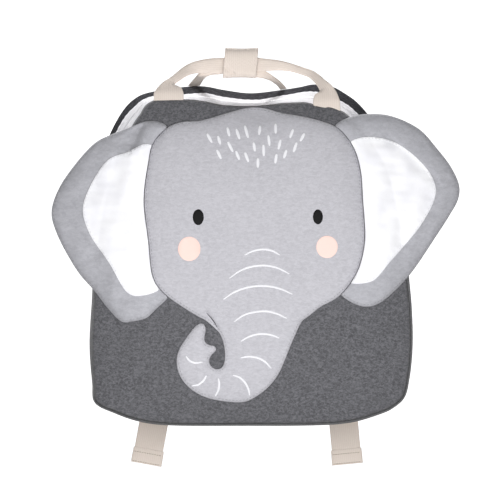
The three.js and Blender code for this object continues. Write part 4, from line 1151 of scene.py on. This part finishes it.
def legStations(rows, baseX, k, end):
    base = seamTop(baseX, k)
    baseY = handles["baseThickness"] / 2 - depthAt(base[1]) if k == 3 else -bag["wall"] / 2
    half = handles["width"] / 2
    reach = half * rows[0][2]
    rim = seamTop(baseX + reach, k) - seamTop(baseX - reach, k)
    start = np.array([baseX, baseY, base[1] + handles["seat"]])
    back = lambda rise: np.clip(rise / 0.9, 0, 1) ** 1.6
    spots = [mix(start, end, np.array([along, back(rise), rise])) for along, rise, _, _ in rows]
    way = np.sign(end[0] - baseX)
    stations = []
    for i, (_, _, width, thick) in enumerate(rows):
        ahead = (spots[i + 1] if i + 1 < len(rows) else end) - spots[max(i - 1, 0)]
        ahead = unit(ahead * (1, 0, 1))
        side = np.array([ahead[2], 0, -ahead[0]]) * way
        if i == 0:
            side = unit(np.array([rim[0], 0, rim[1]])) * way
        elif i < 3:
            side = unit(mix(side, np.array([way, 0, 0]), 0.8))
        stations.append((spots[i], side * half * width * way,
                         max(handles["thickness"] * thick, handles["baseThickness"])))
    return stations


def handle(name, left, right, spots, k, y, drop, node):
    end = np.array([grip["at"][0], y, grip["at"][2] - drop])
    first = legStations(legs[left], spots[0], k, end)
    second = [(m, -h, d) for m, h, d in legStations(legs[right], spots[1], k, end)]
    half = np.array([0, 0, -handles["width"] / 2 * legs[left][-1][2]])
    middle = (end, half, handles["thickness"])
    rings, cloth = bandRings([*first, middle, *second[::-1]], 260, "folded", 0.02, 61)
    makeMesh(name, *tube(rings), "webbing", creamBand, cloth, (node,))


def gripWrap():
    # Wrap round both handles: a superellipse tube with its wall, its ends turned in, a slanting
    # crease at the lower left and a hem line round it near each end.
    columns, around = 44, 96
    v = np.linspace(-1, 1, columns)[:, None]
    turn = np.linspace(0, 2 * math.pi, around, endpoint=False)
    y0, z0 = rounded(np.cos(turn), 0.6), rounded(np.sin(turn), 0.6)
    pinch = 1 - grip["pinch"] * (1 - v**2)
    x = grip["at"][0] + v * grip["length"] / 2 + grip["lean"] * (z0 - 1) / 2
    dent = grip["dent"] * crease(v * 15, z0 * 13.5, (-15, -4), (-6, -11), 2.2) * (y0 < 0)
    hem = grip["hem"] * bump(np.abs(v) - 0.86, 0.035)
    end = grip["end"] * smooth(np.abs(v), 0.95, 1.0)
    rings = []
    for inset in (0.0, 1.0):
        wall = inset * grip["wall"]
        less = (dent + hem + end) * (1 - inset)
        y = grip["at"][1] + (grip["depth"] / 2 * pinch - wall - less) * y0
        z = grip["at"][2] + (grip["height"] / 2 * pinch - wall - less) * z0
        rings.append(np.stack([x, y, z], -1))
    points = np.stack(rings).reshape(-1, 3)
    size = columns * around
    outer = lattice(columns, around, columnsClose=True)
    j = np.arange(around)
    after = (j + 1) % around
    last = (columns - 1) * around
    rims = np.vstack([np.stack([after, j, j + size, after + size], 1),
                      np.stack([last + j, last + after, last + after + size, last + j + size], 1)])
    cloth = np.stack(np.broadcast_arrays(turn / (2 * math.pi) * 0.08, x / 1000), -1).reshape(-1, 2)
    makeMesh("GripWrap", points, [outer, outer[:, ::-1] + size, rims], "webbing", creamBand,
             np.vstack([cloth, cloth]), ("grip_wrap",))


strap = {"width": 46.0, "thickness": 9.0, "top": 284.0, "end": 87.0, "inset": 30.0, "bow": 38.0}
webbing = {"width": 25.5, "thickness": 1.6, "anchorX": 95.0, "anchorZ": 9.0, "drop": 36.0,
           "hem": 13.5, "ends": (93.0, 84.8)}
adjuster = {"x": 76.0, "stand": 20.0, "z": 68.0, "thickness": 3.5, "bar": 4.0, "slot": 5.0,
            "sink": 0.4, "weld": 1e-5, "ease": 0.0008}

# along, out, bow, seat, width, thick: as in the part's solids.
strapRows = [
    (0.0, 0.0, 0.0, 0, 0.8, 0.45), (0.06, 0.02, 0.02, 0, 0.84, 0.6),
    (0.15, 0.12, 0.17, 0, 0.9, 0.95), (0.28, 0.42, 0.58, 0, 1.0, 1.0),
    (0.42, 0.76, 0.9, 0, 1.0, 1.0), (0.58, 0.98, 1.0, 0, 1.0, 1.0),
    (0.74, 1.05, 0.9, 0, 0.94, 1.0), (0.84, 1.03, 0.72, 0, 0.82, 0.9),
    (0.92, 1.0, 0, 1, 0.72, 0.5), (1.0, 1.0, 0, 1, 0.64, 0.45),
]


def strapPad(side):
    rest = bag["seamGap"] + strap["thickness"] / 2
    spots = []
    for along, out, bow, seat, width, thick in strapRows:
        x = side * mix(strap["inset"], adjuster["x"], out)
        flat = bag["seamGap"] + strap["thickness"] * thick / 2
        bowed = flat if bow < 0.1 else mix(rest, strap["bow"], bow)
        z = mix(strap["top"], strap["end"], along)
        spots.append(np.array([x, adjuster["stand"] if seat else bowed, z]))
    stations = []
    for i, (_, _, _, _, width, thick) in enumerate(strapRows):
        ahead = unit((spots[min(i + 1, len(spots) - 1)] - spots[max(i - 1, 0)]) * (1, 0, 1))
        half = np.array([-ahead[2], 0, ahead[0]]) * strap["width"] / 2 * width
        stations.append((spots[i], half, strap["thickness"] * thick))
    return stations


def straps():
    for name, side in (("Left", -1), ("Right", 1)):
        rings, cloth = bandRings(strapPad(side), 150, "pad", 0.008, 71)
        piece = makeMesh("Strap" + name, *tube(rings), "marl_cloth", marl, cloth,
                         ("strap_" + name.lower(),))
        tab(name, side)
        lowerWebbing(name, side, webbing["ends"][(side + 1) // 2])


adjusterSize = 3 * adjuster["bar"] + 2 * adjuster["slot"]
plyOffset = adjuster["thickness"] / 2 + bag["seamGap"] + webbing["thickness"] / 2


def turned(x, z, up):
    # Half turn of webbing round a bar, from the panel's side to the outside.
    half = np.array([webbing["width"] / 2, 0, 0])
    middle = np.array([x, adjuster["stand"], z])
    return [(middle + plyOffset * np.array([0, -math.cos(a), up * math.sin(a)]), half,
             webbing["thickness"]) for a in np.linspace(0, math.pi, 9)]


def tab(name, side):
    x = side * adjuster["x"]
    top = adjuster["z"] + adjusterSize / 2
    loop = turned(x, top - adjuster["bar"] + adjuster["sink"], -1)
    half = loop[0][1]
    stay = strap["thickness"] * strapRows[-1][5] / 2 + bag["seamGap"] + webbing["thickness"] / 2
    stay = max(stay, plyOffset)
    ply = lambda way: [(np.array([x, adjuster["stand"] + way * out, z]), half, webbing["thickness"])
                       for out, z in ((stay, strap["end"] + 9), (stay, strap["end"]),
                                      (plyOffset, top - 1))]
    rings, cloth = bandRings([*ply(-1), *loop, *ply(1)[::-1]], 90, "band")
    makeMesh("StrapTab" + name, *tube(rings), "webbing", creamBand, cloth,
             ("strap_tab_" + name.lower(),))


def lowerWebbing(name, side, tailEnd):
    x = side * adjuster["x"]
    lowBar = adjuster["z"] - adjusterSize / 2 + adjuster["bar"]
    loop = turned(x, lowBar - adjuster["sink"], 1)
    rest = bag["seamGap"] + webbing["thickness"] / 2

    def ply(rows, low, lowX, lowY, highY):
        made = []
        for down, fall, thick, wide in rows:
            slope = (side * lowX - x) / (lowBar - 4 - low)
            half = unit(np.array([1.0, 0, slope])) * webbing["width"] / 2 * wide
            spot = (mix(x, side * lowX, down), mix(highY, lowY, fall), mix(lowBar - 4, low, down))
            made.append((np.array(spot), half, webbing["thickness"] * thick))
        return made

    anchor = ply([(1.0, 1.0, 1, 1), (0.84, 1.0, 1, 1), (0.6, 0.62, 1, 1), (0.3, 0.2, 1, 1),
                  (0.05, 0.0, 1, 1)], webbing["anchorZ"], webbing["anchorX"], rest,
                 adjuster["stand"] - plyOffset)
    hem = 1 - webbing["hem"] / (lowBar + webbing["drop"])
    tail = ply([(0.05, 0.0, 1, 1), (0.35, 0.3, 1, 1), (0.7, 0.8, 1, 1), (hem - 0.008, 0.96, 1, 1),
                (hem, 0.97, 2, 1.07), (1.0, 1.0, 2, 1.07)], -webbing["drop"], tailEnd,
               adjuster["stand"] / 2, adjuster["stand"] + plyOffset)
    rings, cloth = bandRings([*anchor, *loop, *tail], 240, "band", 0.008, 81)
    makeMesh("Webbing" + name, *tube(rings), "webbing", creamBand, cloth,
             ("webbing_" + name.lower(),))
    for row, share in (("Upper", 0.26), ("Lower", 0.9)):
        middle = mix(tail[-2][0], tail[-1][0], share)
        across = tail[-1][1] * 0.92
        path = (middle + np.linspace(-1, 1, 60)[:, None] * across)[:, [0, 2]]
        face = middle[1] - webbing["thickness"] - 0.05
        stitches("Hem" + row + name, path, lambda x, z: np.full(len(x), face), "webbing",
                 creamThread, pitch=2.2, length=1.7, radius=0.3, closed=False)


def adjusters():
    # The solids' frames with their edges eased.
    for name in ("Left", "Right"):
        node = "adjuster_" + name.lower()
        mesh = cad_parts[node].data.copy()
        mesh.name = "Adjuster" + name
        mesh.materials.clear()
        mesh.materials.append(creamPlastic)
        piece = linked("Adjuster" + name, mesh)
        weld = piece.modifiers.new("Weld", "WELD")
        weld.merge_threshold = adjuster["weld"]
        ease = piece.modifiers.new("Ease", "BEVEL")
        ease.width, ease.segments, ease.limit_method = adjuster["ease"], 3, "ANGLE"
        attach(piece, "root")
        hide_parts(node)


frontPanel()
gussets()
zipCoil()
slider()
backPanel()
print("bag shell ready")
headPatch()
for earName in ears:
    earPatches(earName)
faceMarks()
print("face ready")
gripY = handles["thickness"] / 2 + bag["seamGap"]
handle("HandleFront", "frontLeft", "frontRight", handles["frontX"], 3, grip["at"][1] - gripY, 0,
       "handle_front")
handle("HandleBack", "backLeft", "backRight", handles["backX"], 2, grip["at"][1] + gripY,
       handles["backDrop"], "handle_back")
gripWrap()
straps()
adjusters()
print("straps ready")


def studioFloor():
    # Sheet whose profile runs level to the bend, up a quarter circle and straight up, its upper
    # part glowing white behind the bag.
    bend, curve = np.linspace(0, math.pi / 2, 24), studio["curve"]
    y = np.concatenate([np.linspace(-studio["front"], studio["back"], 10)[:-1],
                        studio["back"] + curve * np.sin(bend), [studio["back"] + curve]])
    z = np.concatenate([np.zeros(9), curve * (1 - np.cos(bend)), [studio["height"]]])
    x = np.linspace(-studio["width"], studio["width"], 6)
    points = np.stack(np.broadcast_arrays(x, y[:, None], (z + studio["floor"])[:, None]), -1)
    mesh = bpy.data.meshes.new("StudioFloor")
    mesh.from_pydata(points.reshape(-1, 3).tolist(), [], lattice(len(y), len(x)).tolist())
    mesh.shade_smooth()
    f = Finish("StudioPaper", Roughness=0.9, Specular_IOR_Level=0.1,
               Emission_Strength=studio["glow"])
    _, _, height = f.parts(f.place())
    share = f.clamped(height, studio["low"], studio["high"])
    f.feed(f.shader.inputs["Alpha"], 1 - f.node("NewGeometry", out=6))  # clear from behind
    f.feed(f.shader.inputs["Emission Color"], f.blended(share, (0.0, 0.0, 0.0), (1, 1, 1)))
    paper = f.blended(f.noise(f.place(3), 2.0), linear("fdfdfd"), linear("f9f9f9"))
    mesh.materials.append(f.shaded(f.blended(share, linear("8c8c8c"), paper), 0.9))
    linked("StudioFloor", mesh)


# place in metres, width in metres and power in watts; all face the middle of the bag
lamps = {"KeyLight": ((-0.02, -1.0, -0.25), 0.9, 10.2), "FillLight": ((1.1, -1.9, -0.55), 1.2, 6),
         "TopLight": ((-0.3, 1.7, 1.5), 0.8, 68)}
lampTarget = (0.0, -0.02, -0.16)


def lamp(name, place, size, power):
    data = bpy.data.lights.new(name, "AREA")
    data.shape, data.size, data.energy = "DISK", size, power
    light = linked(name, data)
    away = np.array(place) - lampTarget
    light.rotation_euler = (math.acos(away[2] / np.linalg.norm(away)), 0,
                            math.atan2(away[0], -away[1]))
    light.location = place


def camera():
    middle = toPart([studio["middleX"], studio["focus"], studio["middleZ"]])
    data = bpy.data.cameras.new("Camera")
    data.sensor_width = 36.0
    data.lens = 36.0 * studio["distance"] * 1000 / studio["frame"]
    data.clip_end = 60.0
    view = linked("Camera", data)
    view.location = (middle[0], middle[1] - studio["distance"], middle[2])
    view.rotation_euler = (math.pi / 2, 0, 0)
    bpy.context.scene.camera = view


studioFloor()
for lampName, settings in lamps.items():
    lamp(lampName, *settings)
world = bpy.data.worlds.new("Studio")
world.use_nodes = True
background = world.node_tree.nodes["Background"]
background.inputs[0].default_value = (1, 1, 1, 1)
background.inputs[1].default_value = studio["world"]
bpy.context.scene.world = world
bpy.context.scene.view_settings.view_transform = "Standard"
camera()
print("studio ready")
